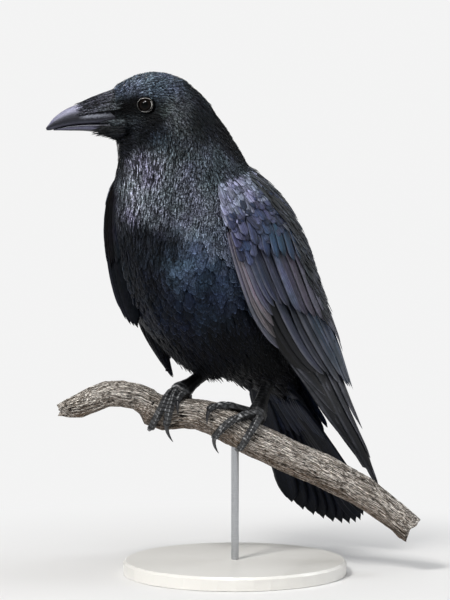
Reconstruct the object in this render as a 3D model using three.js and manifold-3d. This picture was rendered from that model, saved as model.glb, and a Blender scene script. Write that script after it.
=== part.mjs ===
// A common raven, life size, gripping a broken length of oak branch on a plain display stand.
//
// The part's frame: +X runs along the perch, to the right of somebody who looks at the display;
// +Y runs away from them and +Z is up. The origin is the centre of the stand's underside.
// All sizes are in millimetres.

import * as THREE from "three";
import { mergeVertices } from "three/addons/utils/BufferGeometryUtils.js";
import Module from "manifold-3d";

const wasm = await Module();
wasm.setup();

// ---------------------------------------------------------------- driving dimensions

const gap = 0.3; // clearance between solids that touch
const tolerance = 0.08; // how far a face may move when small faces are merged

// The bird's own frame: +X forward, +Y to its left, +Z up, its origin on the floor below its feet.
const birdPlace = new THREE.Vector3(-29, 0, 0);
const birdYaw = THREE.MathUtils.degToRad(230); // which way the breast faces, turned from +X
const headYaw = THREE.MathUtils.degToRad(185); // the head looks along the perch
const headPlace = new THREE.Vector3(-79, -46, 489); // the middle of the skull, in the part's frame

const eyeRadius = 8.2;
const eyePlace = { forward: 14.6, side: 20.6, up: 4 }; // from the middle of the skull

const tail = {
  pairs: 6, // of feathers
  length: 211, // of the middle ones
  root: 23, // half the width from which they spread
  featherWidth: 29,
  thickness: 2.6,
  spread: 10.4, // degrees that the outermost feathers lean out
  rounding: 34, // how much shorter the outermost are
  camber: 8, // how much lower they lie
};
const wing = {
  thickness: 12,
  primaryDepth: [2, 7], // from the outside of the wing to both faces of its long feathers
  farShift: new THREE.Vector3(3, -7, 0), // the right wing is held a little out, in the bird's frame
};
const mantle = { top: 470, topHalf: 36, shoulder: 400, shoulderHalf: 30, tip: 296, tipGrow: 4 };

// Claws: how each turns as it leaves its toe (start) and at each step from there (bend).
const claw = { steps: 6, slimness: 0.6 };
const clawKinds = {
  outer: { length: 11, start: [0, 0.1, 0.1], bend: [0, 0.05, 0.16] },
  middle: { length: 20, start: [-0.1, -0.15, -0.5], bend: [0.19, 0, -0.12] },
  inner: { length: 15, start: [-0.1, -0.15, -0.5], bend: [0.06, 0, -0.16] },
  hind: { length: 15, start: [0, -0.2, 0], bend: [0, -0.24, 0.04] },
};
const rod = { radius: 4, depthInPerch: 9 };
const base = { radius: 118, height: 14, bevel: 2.5 };

// ---------------------------------------------------------------- making solids

// The point a share u of the way through a list of stations, each value on one smooth curve.
function between(stations, keys) {
  const values = stations.map((s) => new THREE.Vector3(...keys.map((k) => s[k] ?? 0)));
  const curve = new THREE.CatmullRomCurve3(values, false, "catmullrom", 0.5);
  return (u) => curve.getPoint(u);
}

// A closed geometry wrapped over rings of points. pointAt(u, v) gives the point a share u along
// and a share v round; the two ends close on the middle of their ring.
function wrap(rings, sides, pointAt) {
  const geometry = new THREE.SphereGeometry(1, sides, rings + 1);
  const position = geometry.getAttribute("position");
  const middle = (u) => {
    const sum = new THREE.Vector3();
    for (let j = 0; j < sides; j++) sum.add(pointAt(u, j / sides));
    return sum.divideScalar(sides);
  };
  for (let i = 0; i <= rings + 1; i++) {
    const u = THREE.MathUtils.clamp((i - 1) / (rings - 1), 0, 1);
    const end = i === 0 || i === rings + 1 ? middle(u) : null;
    for (let j = 0; j <= sides; j++) {
      const p = end ?? pointAt(u, (j % sides) / sides);
      position.setXYZ(i * (sides + 1) + j, p.x, p.y, p.z);
    }
  }
  return geometry;
}

// A geometry as a manifold solid, with its faces turned outwards.
function solid(geometry) {
  const bare = geometry.clone();
  bare.deleteAttribute("normal");
  bare.deleteAttribute("uv");
  const merged = mergeVertices(bare, 1e-4);
  const index = Array.from(merged.index.array);
  const corners = [];
  for (let i = 0; i < index.length; i += 3) {
    const [a, b, c] = index.slice(i, i + 3);
    if (a !== b && b !== c && c !== a) corners.push(a, b, c);
  }
  const make = (triangles) =>
    new wasm.Manifold(
      new wasm.Mesh({
        numProp: 3,
        vertProperties: merged.getAttribute("position").array,
        triVerts: new Uint32Array(triangles),
      }),
    );
  const made = make(corners);
  if (made.volume() > 0) return made;
  return make(corners.reverse());
}

// A manifold solid as a geometry.
function geometryOf(made) {
  const mesh = made.getMesh();
  const vertices = new Float32Array(mesh.numVert * 3);
  for (let i = 0; i < mesh.numVert; i++) {
    vertices.set(mesh.vertProperties.subarray(i * mesh.numProp, i * mesh.numProp + 3), i * 3);
  }
  const geometry = new THREE.BufferGeometry();
  geometry.setAttribute("position", new THREE.BufferAttribute(vertices, 3));
  geometry.setIndex(new THREE.BufferAttribute(mesh.triVerts, 1));
  geometry.computeVertexNormals();
  return geometry;
}

const joined = (solids) => solids.reduce((a, b) => a.add(b));

// The largest single body of a solid, without the slivers that a cut leaves.
function largest(made) {
  return made.decompose().sort((a, b) => b.volume() - a.volume())[0];
}

// A block with one face through a point, reaching a long way to the side that its normal shows.
function halfSpace(point, normal, reach = 900) {
  const block = new THREE.BoxGeometry(reach, reach, reach).translate(0, 0, reach / 2);
  const turn = new THREE.Quaternion().setFromUnitVectors(
    new THREE.Vector3(0, 0, 1),
    normal.clone().normalize(),
  );
  block.applyQuaternion(turn).translate(point.x, point.y, point.z);
  return solid(block);
}

// A limb or body round a curved spine. Each station has its place (x, y, z), its half width to the
// sides and its depth on its upper side (back) and lower side (front). side is the way its width
// runs; stations that run from tail to head have the bird's back on the upper side.
function limb({ stations, side, rings, sides, grow = 0, squareness = 2 }) {
  const spine = between(stations, ["x", "y", "z"]);
  const size = between(stations, ["half", "back", "front"]);
  const power = 2 / squareness;
  const shaped = (value) => Math.sign(value) * Math.abs(value) ** power;
  const nearby = 0.004;
  return wrap(rings, sides, (u, v) => {
    const centre = spine(u);
    const ahead = spine(Math.min(1, u + nearby)).sub(spine(Math.max(0, u - nearby))).normalize();
    const across = (typeof side === "function" ? side(u) : side).clone();
    across.addScaledVector(ahead, -across.dot(ahead)).normalize();
    const back = new THREE.Vector3().crossVectors(ahead, across).normalize();
    const { x: half, y: backDepth, z: frontDepth } = size(u);
    const angle = v * 2 * Math.PI;
    const depth = Math.cos(angle) > 0 ? backDepth : frontDepth;
    return centre
      .addScaledVector(across, (half + grow) * shaped(Math.sin(angle)))
      .addScaledVector(back, (depth + grow) * shaped(Math.cos(angle)));
  });
}

// ---------------------------------------------------------------- frames

const birdFrame = new THREE.Matrix4().makeRotationZ(birdYaw).setPosition(birdPlace);
const headFrame = new THREE.Matrix4().makeRotationZ(headYaw).setPosition(headPlace);
const left = new THREE.Vector3(0, 1, 0);
const ahead = new THREE.Vector3(1, 0, 0);

const placed = (geometry, frame) => solid(geometry.clone().applyMatrix4(frame));
const inBird = (geometry) => placed(geometry, birdFrame);
const inHead = (geometry) => placed(geometry, headFrame);
const birdPoint = (x, y, z) => new THREE.Vector3(x, y, z).applyMatrix4(birdFrame);
const birdWay = (x, y, z) => new THREE.Vector3(x, y, z).transformDirection(birdFrame);

// ---------------------------------------------------------------- trunk, neck and head

const trunkStations = [
  { x: -118, z: 182, half: 30, back: 17, front: 11 }, // root of the tail
  { x: -90, z: 212, half: 42, back: 34, front: 37 }, // rump
  { x: -58, z: 244, half: 58, back: 56, front: 56 }, // vent
  { x: -24, z: 278, half: 75, back: 80, front: 78 }, // flanks
  { x: 2, z: 318, half: 80, back: 92, front: 93 }, // belly
  { x: 22, z: 362, half: 80, back: 90, front: 94 }, // breast
  { x: 40, z: 405, half: 73, back: 78, front: 85 }, // shoulders
  { x: 52, z: 440, half: 59, back: 73, front: 66 }, // neck
  { x: 58, z: 470, half: 48, back: 62, front: 42 }, // top of the neck
  { x: 62, z: 496, half: 34, back: 48, front: 22 }, // inside the skull
];
const trunkShape = (grow) =>
  limb({ stations: trunkStations, side: left, rings: 16, sides: 18, grow });

// The skull and its feathers, in the head's frame: x forward from the middle of the skull.
const headStations = [
  { x: -52, z: -16, half: 15, back: 12, front: 14 },
  { x: -42, z: -10, half: 25, back: 24, front: 22 }, // back of the head
  { x: -22, z: -4, half: 29, back: 33.5, front: 30 },
  { x: 0, z: -1, half: 29.5, back: 38.5, front: 33 }, // crown
  { x: 18, z: 0, half: 26.5, back: 36, front: 31 }, // eyes
  { x: 34, z: -1, half: 21.5, back: 28.5, front: 27 }, // forehead
  { x: 46, z: -3.5, half: 16.5, back: 24, front: 22 },
  { x: 55, z: -6, half: 12, back: 20.5, front: 18.5 }, // where the bill leaves the feathers
];
const headShape = (grow) =>
  limb({ stations: headStations, side: left, rings: 11, sides: 16, grow });
// The feathers of the chin, from the bill down to the neck.
const chinStations = [
  { x: 10, z: -74, half: 30, back: 30, front: 30 },
  { x: 24, z: -50, half: 24, back: 24, front: 22 },
  { x: 36, z: -33, half: 15, back: 14, front: 10 },
  { x: 45, z: -23, half: 8, back: 6, front: 3 },
];
const chinShape = (grow) => limb({ stations: chinStations, side: left, rings: 6, sides: 10, grow });

// ---------------------------------------------------------------- bill

// Each half of the bill: back is the height of its culmen side, front the depth below its line.
const upperStations = [
  { x: 44, z: -12.5, half: 12, back: 27.5, front: 3.6 },
  { x: 62, z: -12.8, half: 9.8, back: 26, front: 3.4 },
  { x: 78, z: -13.6, half: 7.8, back: 21.8, front: 3.2 },
  { x: 92, z: -15, half: 6, back: 16.4, front: 3 },
  { x: 104, z: -17, half: 4.2, back: 9.8, front: 3 },
  { x: 111.5, z: -19, half: 2.4, back: 3.9, front: 2.8 },
  { x: 115.5, z: -20.2, half: 0.8, back: 0.8, front: 1.6 },
];
const lowerStations = [
  { x: 44, z: -16.8, half: 10.8, back: 1.2, front: 8.2 },
  { x: 62, z: -17, half: 9, back: 1.2, front: 6.8 },
  { x: 78, z: -17.6, half: 7, back: 1.2, front: 4.8 },
  { x: 92, z: -18.6, half: 5.2, back: 1.1, front: 3.6 },
  { x: 101, z: -20, half: 3.4, back: 0.8, front: 2 },
  { x: 108, z: -21.2, half: 1.3, back: 0.4, front: 0.8 },
];
const billShape = (stations, grow, squareness) =>
  limb({ stations, side: left, rings: 11, sides: 12, grow, squareness });

// ---------------------------------------------------------------- wings

// The folded wings lie in a cape round the back: the outside of the cape is the outside of both.
const capeStations = [
  { x: -256, z: 66, half: 40, back: 8, front: 8 }, // wing tips
  { x: -212, z: 116, half: 52, back: 26, front: 19 },
  { x: -158, z: 168, half: 65, back: 48, front: 34 },
  { x: -102, z: 216, half: 83, back: 72, front: 54 },
  { x: -52, z: 262, half: 92, back: 94, front: 80 },
  { x: -16, z: 308, half: 94, back: 104, front: 100 },
  { x: 12, z: 358, half: 90, back: 96, front: 98 },
  { x: 34, z: 406, half: 76, back: 70, front: 84 },
  { x: 42, z: 438, half: 52, back: 55, front: 56 }, // over the shoulders
];
const capeShape = (grow) =>
  limb({ stations: capeStations, side: left, rings: 14, sides: 22, grow, squareness: 2.4 });

// The outline of a folded wing from the side, in the bird's frame: a closed smooth curve.
const wingOutlines = {
  left: [
    [57, 402], // bend of the wing
    [48, 428],
    [12, 446],
    [-50, 452], // shoulder
    [-134, 400],
    [-166, 340],
    [-188, 280],
    [-206, 228],
    [-206, 196], // tips of the tertials
    [-166, 190],
    [-110, 200],
    [-60, 212], // tips of the outer secondaries
    [-18, 250],
    [18, 292],
    [44, 336], // leading edge
    [56, 372],
  ],
  right: [
    [57, 402],
    [48, 428],
    [12, 446],
    [-50, 452],
    [-134, 400],
    [-166, 340],
    [-188, 280],
    [-206, 228],
    [-206, 200],
    [-166, 202],
    [-110, 222],
    [-60, 240],
    [-8, 260],
    [36, 261], // the far wing hangs lower at its leading edge
    [62, 292],
    [64, 350],
  ],
};
// The long primaries, from the flank to the wing's tip.
const primaryOutlines = {
  left: [
    [-40, 252],
    [-130, 250],
    [-190, 230],
    [-216, 190],
    [-240, 140],
    [-262, 88],
    [-254, 68], // tip of the wing
    [-222, 92],
    [-186, 124],
    [-150, 152],
    [-88, 196],
  ],
  right: [
    [-40, 268],
    [-130, 264],
    [-190, 238],
    [-216, 198],
    [-240, 152],
    [-262, 96],
    [-254, 76],
    [-222, 108],
    [-186, 150],
    [-150, 200],
    [-88, 242],
  ],
};

// A block that holds all that lies inside an outline on one side of the bird.
function sideBlock(points, side) {
  const outline = new THREE.CatmullRomCurve3(
    points.map(([x, z]) => new THREE.Vector3(x, z, 0)),
    true,
    "catmullrom",
    0.5,
  );
  const corners = outline.getPoints(points.length * 2).map((p) => new THREE.Vector2(p.x, p.y));
  const block = new THREE.ExtrudeGeometry(new THREE.Shape(corners), { depth: 130, bevelEnabled: false });
  block.rotateX(Math.PI / 2).translate(0, -gap / 2, 0); // it reaches to the bird's right
  if (side > 0) block.scale(1, -1, 1);
  return inBird(block);
}

// The feathers of the mantle lie between the wings: a wedge of the cape, widest at the shoulders.
function mantleWedge(grow) {
  const corners = [
    [-mantle.topHalf - grow, mantle.top],
    [mantle.topHalf + grow, mantle.top],
    [mantle.shoulderHalf + grow, mantle.shoulder],
    [0, mantle.tip - mantle.tipGrow * grow],
    [-mantle.shoulderHalf - grow, mantle.shoulder],
  ].map(([y, z]) => new THREE.Vector2(y, z));
  const depth = 240;
  const wedge = new THREE.ExtrudeGeometry(new THREE.Shape(corners), { depth, bevelEnabled: false });
  wedge.rotateX(Math.PI / 2).rotateZ(Math.PI / 2).translate(-depth, 0, 0);
  return inBird(wedge);
}

// ---------------------------------------------------------------- tail

// One tail feather: a flat blade with a round end that leans out from the root of the tail.
const tailRoot = new THREE.Vector3(-104, 0, 204);
const tailAim = new THREE.Vector3(-0.545, 0, -0.838); // the way that the tail points
const tailUp = new THREE.Vector3(-0.838, 0, 0.545);
const bladeWidths = [[0, 0.35], [0.3, 0.8], [0.62, 1], [0.86, 0.9], [0.95, 0.66], [1, 0.15]];

function tailBlade(number) {
  const share = number / (tail.pairs - 0.5); // 0 in the middle, 1 and -1 at the edges
  const lean = THREE.MathUtils.degToRad(tail.spread * share);
  const length = tail.length - tail.rounding * share * share;
  const stations = bladeWidths.map(([t, width]) => ({
    ...tailRoot
      .clone()
      .addScaledVector(tailAim, length * t * Math.cos(lean))
      .addScaledVector(left, tail.root * share + length * t * Math.sin(lean))
      .addScaledVector(tailUp, -tail.camber * share * share - 0.25 * Math.abs(number)),
    half: (tail.featherWidth / 2) * width,
    back: tail.thickness / 2,
    front: tail.thickness / 2,
  }));
  return inBird(limb({ stations, side: left, rings: 6, sides: 5 }));
}

// ---------------------------------------------------------------- legs

// Places on the bird's right (-1) and left (+1) side, in the bird's frame.
const legs = {
  right: {
    thigh: [
      { x: 4, y: -44, z: 300, half: 34, back: 26, front: 26 },
      { x: -4, y: -42, z: 262, half: 32, back: 24, front: 24 },
      { x: -20, y: -38, z: 232, half: 22, back: 16, front: 16 },
      { x: -31, y: -34, z: 214, half: 10, back: 8, front: 8 },
    ],
    ankle: new THREE.Vector3(-38, -31, 210),
    footX: -60,
  },
  left: {
    thigh: [
      { x: -18, y: 38, z: 296, half: 36, back: 28, front: 28 },
      { x: -34, y: 36, z: 254, half: 34, back: 25, front: 25 },
      { x: -56, y: 31, z: 224, half: 26, back: 20, front: 20 },
      { x: -71, y: 26, z: 206, half: 12, back: 10, front: 10 },
    ],
    ankle: new THREE.Vector3(-75, 24, 204),
    footX: 11,
  },
};
// A point of long feathers that hangs in front of the right thigh.
const flankTuft = [
  { x: 28, y: -49, z: 300, half: 20, back: 16, front: 16 },
  { x: 26, y: -49, z: 256, half: 15, back: 12, front: 12 },
  { x: 18, y: -45, z: 226, half: 6, back: 5.5, front: 5.5 },
  { x: 12, y: -43, z: 208, half: 1.6, back: 1.6, front: 1.6 },
];

// The bare shank and the ball of the foot, from the ankle down to the top of the perch.
const tarsusSizes = [[-0.12, 5], [0.04, 6], [0.3, 5.2], [0.6, 5.8], [0.82, 8.2], [1.0, 10], [1.1, 5.4]];

function tarsusShape(foot, grow) {
  const ankle = foot.ankle.clone().applyMatrix4(birdFrame);
  const { place } = onPerch(foot.footX, 0, 3);
  const stations = tarsusSizes.map(([t, radius]) => ({
    ...ankle.clone().lerp(place, t),
    half: radius,
    back: radius * 1.1,
    front: radius * 1.1,
  }));
  return solid(limb({ stations, side: ahead, rings: 9, sides: 8, grow }));
}

// ---------------------------------------------------------------- perch

const perchStations = [
  { x: -184, z: 172, half: 8, back: 6.5, front: 6 }, // the broken end
  { x: -163, z: 178, half: 12, back: 12, front: 13 },
  { x: -129, z: 189, half: 14.5, back: 16, front: 13 }, // knob
  { x: -98, z: 184, half: 14, back: 13.5, front: 13.5 },
  { x: -78, z: 174, half: 17.5, back: 15, front: 24 },
  { x: -40, z: 169, half: 16, back: 16.5, front: 16 },
  { x: -8, z: 157, half: 18, back: 18.5, front: 18 },
  { x: 24, z: 139, half: 18, back: 18.5, front: 18.5 },
  { x: 62, z: 122, half: 17.5, back: 18, front: 18 },
  { x: 100, z: 104, half: 18, back: 19, front: 18 },
  { x: 130, z: 87, half: 16.5, back: 17.5, front: 15.5 },
  { x: 162, z: 65, half: 15.5, back: 16, front: 15 },
  { x: 185, z: 46, half: 15, back: 15.5, front: 15 }, // the other broken end
];
const perchLine = between(perchStations, ["x", "y", "z"]);
const perchSize = between(perchStations, ["half", "back", "front"]);

// The middle of the perch a share u along it, with its own directions: along, up and to the front.
function perchAt(u) {
  const nearby = 0.004;
  const along = perchLine(Math.min(1, u + nearby)).sub(perchLine(Math.max(0, u - nearby))).normalize();
  const front = new THREE.Vector3(0, -1, 0);
  const up = new THREE.Vector3().crossVectors(front, along).normalize();
  return { centre: perchLine(u), along, front, up };
}

// How far the bark stands out at an angle round the perch and a share along it.
function bark(angle, u) {
  const ridges = Math.sin(5 * angle + 9 * u) + 0.7 * Math.sin(8 * angle - 23 * u + 1.3);
  const lumps = Math.sin(31 * u + 2 * angle) + 0.8 * Math.sin(53 * u - angle + 0.7);
  return 0.45 * ridges + 0.6 * lumps;
}

// How far the splinters of the two broken ends stand out.
function splinter(angle, u) {
  const teeth = 3 * Math.sin(3 * angle) + 2.5 * Math.cos(5 * angle);
  if (u < 0.02) return -teeth;
  return u > 0.98 ? teeth : 0;
}

function perchShape(grow) {
  return solid(
    wrap(27, 12, (u, v) => {
      const { centre, along, front, up } = perchAt(u);
      const { x: half, y: above, z: below } = perchSize(u);
      const angle = v * 2 * Math.PI;
      const depth = Math.cos(angle) > 0 ? above : below;
      const out = grow + bark(angle, u);
      return centre
        .addScaledVector(front, (half + out) * Math.sin(angle))
        .addScaledVector(up, (depth + out) * Math.cos(angle))
        .addScaledVector(along, splinter(angle, u));
    }),
  );
}

// The share along the perch at which it passes a given x.
function perchShare(x) {
  let low = 0;
  let high = 1;
  for (let i = 0; i < 30; i++) {
    const middle = (low + high) / 2;
    if (perchLine(middle).x < x) low = middle;
    else high = middle;
  }
  return low;
}

// The place a height over the bark at x, turned degrees from the top towards the front.
function onPerch(x, degrees, height) {
  const u = perchShare(x);
  const { centre, front, up } = perchAt(u);
  const angle = THREE.MathUtils.degToRad(degrees);
  const out = up.multiplyScalar(Math.cos(angle)).addScaledVector(front, Math.sin(angle));
  const { x: half, y: above, z: below } = perchSize(u);
  const depth = Math.cos(angle) > 0 ? above : below;
  const radius = Math.hypot(half * Math.sin(angle), depth * Math.cos(angle));
  return { place: centre.addScaledVector(out, radius + height) };
}

// ---------------------------------------------------------------- toes and claws

// Toes of each foot: where each starts and ends along the perch (x from the foot's middle) and how
// far round it goes, in degrees from the top towards the front.
const toes = {
  right: {
    outer: { from: -8, to: -21, start: 10, end: 146, radius: 5.1 },
    middle: { from: -3, to: -10, start: 12, end: 126, radius: 5.3 },
    inner: { from: 8, to: -1, start: 6, end: 54, radius: 4.8 },
    hind: { from: 6, to: 10, start: -8, end: -100, radius: 5.6 },
  },
  left: {
    outer: { from: 3, to: 1, start: 10, end: 130, radius: 5 },
    middle: { from: -3, to: -26, start: 12, end: 140, radius: 5.2 },
    inner: { from: -9, to: -41, start: 2, end: 66, radius: 4.7 },
    hind: { from: 3, to: 9, start: -14, end: -100, radius: 5.4 },
  },
};
// The stations of a toe that wraps round the perch from the ball of its foot, with knuckles.
function toeStations(foot, toe) {
  const joints = 9;
  return Array.from({ length: joints + 1 }, (_, i) => {
    const t = i / joints;
    const x = foot.footX + toe.from + (toe.to - toe.from) * Math.sin((t * Math.PI) / 2);
    const radius = toe.radius * (1 - 0.25 * t) * (1 + 0.07 * Math.cos(6 * Math.PI * t));
    const { place } = onPerch(x, toe.start + (toe.end - toe.start) * t, radius * 0.82);
    return { ...place, half: radius, back: radius * 1.05, front: radius * 1.05 };
  });
}

// A hooked claw that leaves the end of its toe and curls round.
function clawShape(stations, toe, { length, start, bend }) {
  const last = new THREE.Vector3().copy(stations.at(-1));
  const way = last.clone().sub(stations.at(-2)).normalize();
  const place = last.clone().addScaledVector(way, gap);
  way.add(new THREE.Vector3(...start)).normalize();
  const bones = [];
  for (let i = 0; i <= claw.steps; i++) {
    const radius = toe.radius * claw.slimness * (1 - i / claw.steps) ** 0.8 + 0.35;
    bones.push({ ...place, half: radius * 0.8, back: radius, front: radius });
    way.add(new THREE.Vector3(...bend)).normalize();
    place.addScaledVector(way, length / claw.steps);
  }
  return solid(limb({ stations: bones, side: ahead, rings: 6, sides: 5 }));
}

// ---------------------------------------------------------------- the named meshes

const looks = {
  plumage: { color: 0x14171d, roughness: 0.6, metalness: 0 },
  horn: { color: 0x1b1c20, roughness: 0.35, metalness: 0 },
  eye: { color: 0x0b0908, roughness: 0.1, metalness: 0 },
  leg: { color: 0x1a1918, roughness: 0.55, metalness: 0 },
  bark: { color: 0x8a7a68, roughness: 0.9, metalness: 0 },
  steel: { color: 0xb9bbbd, roughness: 0.35, metalness: 1 },
  enamel: { color: 0xd9d7d2, roughness: 0.5, metalness: 0 },
};
const materials = Object.fromEntries(
  Object.entries(looks).map(([name, look]) => [name, new THREE.MeshStandardMaterial(look)]),
);

const group = new THREE.Group();
function add(name, made, material) {
  const mesh = new THREE.Mesh(geometryOf(largest(made.simplify(tolerance))), materials[material]);
  mesh.name = name;
  group.add(mesh);
}

// What is left of a solid once room is made for its neighbours.
const clearOf = (made, neighbours) => largest(neighbours.reduce((rest, cut) => rest.subtract(cut), made));

// The two sides of a thin cut through a solid.
function cutInTwo(whole, point, normal) {
  const shift = normal.clone().multiplyScalar(gap / 2);
  const ahead = whole.intersect(halfSpace(point.clone().add(shift), normal));
  const behind = whole.intersect(halfSpace(point.clone().sub(shift), normal.clone().negate()));
  return [largest(ahead), largest(behind)];
}

const sides = { left: 1, right: -1 };
const trunkGrown = inBird(trunkShape(gap));
const headGrown = inHead(headShape(gap));
const chinGrown = inHead(chinShape(gap));
const perchGrown = perchShape(gap);

// Eyes, each in a shallow dish of the face.
const eyeAt = (geometry, side, out) =>
  inHead(geometry.translate(eyePlace.forward, side * (eyePlace.side + out), eyePlace.up));
const eyeBall = (side, grow) => eyeAt(new THREE.SphereGeometry(eyeRadius + grow, 12, 9), side, 0);
const eyeDish = (side) => eyeAt(new THREE.SphereGeometry(12, 12, 8).scale(1, 0.5, 1), side, 9.5);
for (const [name, side] of Object.entries(sides)) add(`eye_${name}`, eyeBall(side, 0), "eye");

// Flesh: the trunk, neck and head are one shape parted by thin cuts.
const sockets = Object.values(sides).flatMap((side) => [eyeBall(side, gap), eyeDish(side)]);
const flesh = clearOf(joined([inBird(trunkShape(0)), inHead(headShape(0)), inHead(chinShape(0))]), sockets);
const [head, headless] = cutInTwo(flesh, birdPoint(56, 0, 450), birdWay(0.3, -0.12, 0.94));
const [neck, trunk] = cutInTwo(headless, birdPoint(42, 0, 408), birdWay(0.34, 0, 0.94));
add("head", head, "plumage");
add("neck", neck, "plumage");
add("trunk", trunk, "plumage");
const mantleGrown = inBird(capeShape(gap)).intersect(mantleWedge(gap));
const mantleShape = inBird(capeShape(0)).intersect(mantleWedge(0));
add("mantle", clearOf(mantleShape, [trunkGrown]), "plumage");

// Bill: its two halves meet along the gape.
const upperShape = (grow) => inHead(billShape(upperStations, grow, 1.8));
const lowerShape = inHead(billShape(lowerStations, 0, 1.9));
add("bill_upper", clearOf(upperShape(0), [headGrown, chinGrown]), "horn");
add("bill_lower", clearOf(lowerShape, [headGrown, chinGrown, upperShape(gap)]), "horn");

// Legs: a feathered thigh and a bare shank, then the toes and their claws round the perch.
const thighs = {};
for (const [name, foot] of Object.entries(legs)) {
  const thighShape = (grow) =>
    inBird(limb({ stations: foot.thigh, side: ahead, rings: 8, sides: 10, grow }));
  thighs[name] = thighShape(gap);
  add(`thigh_${name}`, clearOf(thighShape(0), [trunkGrown]), "plumage");
  add(`tarsus_${name}`, clearOf(tarsusShape(foot, 0), [perchGrown, thighs[name], trunkGrown]), "leg");
}
const tuftShape = inBird(limb({ stations: flankTuft, side: ahead, rings: 8, sides: 10 }));
add("flank_tuft", clearOf(tuftShape, [trunkGrown, thighs.right]), "plumage");

// Wings: a shell of the cape inside the wing's outline, and the primaries under it.
function shell(from, to, outline, side) {
  return inBird(capeShape(-from)).subtract(inBird(capeShape(-to))).intersect(sideBlock(outline, side));
}
for (const [name, side] of Object.entries(sides)) {
  const shift = birdWay(...wing.farShift).multiplyScalar(side > 0 ? 0 : wing.farShift.length());
  const neighbours = [trunkGrown, mantleGrown, thighs[name]];
  const cover = shell(0, wing.thickness, wingOutlines[name], side);
  const underCover = shell(-gap, wing.thickness + gap, wingOutlines[name], side);
  const room = underCover.add(underCover.translate(0, 0, -2 * gap));
  const tips = shell(...wing.primaryDepth, primaryOutlines[name], side).subtract(room);
  add(`wing_${name}`, clearOf(cover.translate(shift.toArray()), neighbours), "plumage");
  add(`primaries_${name}`, clearOf(tips.translate(shift.toArray()), neighbours), "plumage");
}

// Tail: its blades overlap, so they are one solid.
const blades = [];
for (let i = 0; i < tail.pairs; i++) {
  for (const side of Object.values(sides)) blades.push(tailBlade(side * (i + 0.5)));
}
add("tail", clearOf(joined(blades), [trunkGrown]), "plumage");

for (const [name, foot] of Object.entries(legs)) {
  const neighbours = [perchGrown, tarsusShape(foot, gap)];
  for (const [toeName, toe] of Object.entries(toes[name])) {
    const stations = toeStations(foot, toe);
    const toeShape = (grow) => solid(limb({ stations, side: ahead, rings: 8, sides: 5, grow }));
    add(`toe_${toeName}_${name}`, clearOf(toeShape(0), neighbours), "leg");
    const clawMade = clawShape(stations, toe, clawKinds[toeName]);
    neighbours.push(toeShape(gap));
    add(`claw_${toeName}_${name}`, clearOf(clawMade, neighbours), "horn");
  }
}

// Perch and stand: a disc with one rod up into the perch.
const rodTop = perchLine(perchShare(0)).z - rod.depthInPerch;
function rodShape(grow) {
  const radius = rod.radius + grow;
  const length = rodTop + grow - base.height - gap;
  const shape = new THREE.CylinderGeometry(radius, radius, length, 24).rotateX(Math.PI / 2);
  return solid(shape.translate(0, 0, base.height + gap + length / 2));
}
const baseProfile = [
  [0, 0],
  [base.radius, 0],
  [base.radius, base.height - base.bevel],
  [base.radius - base.bevel, base.height],
  [0, base.height],
].map(([r, z]) => new THREE.Vector2(r, z));
add("perch", clearOf(perchShape(0), [rodShape(gap)]), "bark");
add("stand_rod", rodShape(0), "steel");
add("stand_base", solid(new THREE.LatheGeometry(baseProfile, 40).rotateX(Math.PI / 2)), "enamel");

export default group;
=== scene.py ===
import bmesh
import bpy
import math
import numpy as np
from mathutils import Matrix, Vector, noise
from mathutils.bvhtree import BVHTree


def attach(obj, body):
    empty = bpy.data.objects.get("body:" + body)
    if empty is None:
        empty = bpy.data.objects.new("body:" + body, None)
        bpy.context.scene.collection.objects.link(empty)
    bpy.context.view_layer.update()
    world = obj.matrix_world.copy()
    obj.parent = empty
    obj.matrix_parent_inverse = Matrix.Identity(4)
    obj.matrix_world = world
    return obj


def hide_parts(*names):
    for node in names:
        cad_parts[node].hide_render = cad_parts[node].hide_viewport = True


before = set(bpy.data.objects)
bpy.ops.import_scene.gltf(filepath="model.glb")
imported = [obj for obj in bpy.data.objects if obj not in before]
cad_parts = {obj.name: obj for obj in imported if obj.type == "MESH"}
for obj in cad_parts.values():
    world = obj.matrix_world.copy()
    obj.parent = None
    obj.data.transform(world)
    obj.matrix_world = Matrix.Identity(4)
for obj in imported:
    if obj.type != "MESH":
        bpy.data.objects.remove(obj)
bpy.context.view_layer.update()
noise.seed_set(4)  # or each run would draw another coat
scene = bpy.context.scene
scene.view_settings.view_transform = "Standard"
mm = 0.001

# the bird's own frame and the head's: x forward, y to its left, z up
bird = {"place": (-29, 0, 0), "yaw": 230}
skull = {"place": (-79, -46, 489), "yaw": 185}
facing = np.array([-0.643, -0.766, 0])  # the way that the bird's breast faces


def turnOf(own):
    angle = math.radians(own["yaw"])
    return np.array(
        [
            [math.cos(angle), -math.sin(angle), 0],
            [math.sin(angle), math.cos(angle), 0],
            [0, 0, 1],
        ]
    )


def outOf(own, points):
    return np.asarray(points, float) @ turnOf(own).T + np.array(own["place"])


def into(own, points):
    return (np.asarray(points, float) - np.array(own["place"])) @ turnOf(own)


def unit(vectors):
    return vectors / np.maximum(np.linalg.norm(vectors, axis=-1, keepdims=True), 1e-9)


def shade(hexText):
    parts = [int(hexText[i : i + 2], 16) / 255 for i in (0, 2, 4)]
    return tuple(p / 12.92 if p < 0.04045 else ((p + 0.055) / 1.055) ** 2.4 for p in parts)


def smoothStep(low, high, values):
    share = np.clip((values - low) / (high - low), 0, 1)
    return share * share * (3 - 2 * share)


view = {"place": (-0.0105, -2.9927, 0.498), "pitch": 86, "lens": 171.4}


def makeCamera():
    data = bpy.data.cameras.new("camera")
    data.sensor_width = 36
    data.lens = view["lens"]
    data.clip_end = 60
    camera = bpy.data.objects.new("camera", data)
    camera.location = view["place"]
    camera.rotation_euler = (math.radians(view["pitch"]), 0, 0)
    scene.collection.objects.link(camera)
    scene.camera = camera


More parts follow.
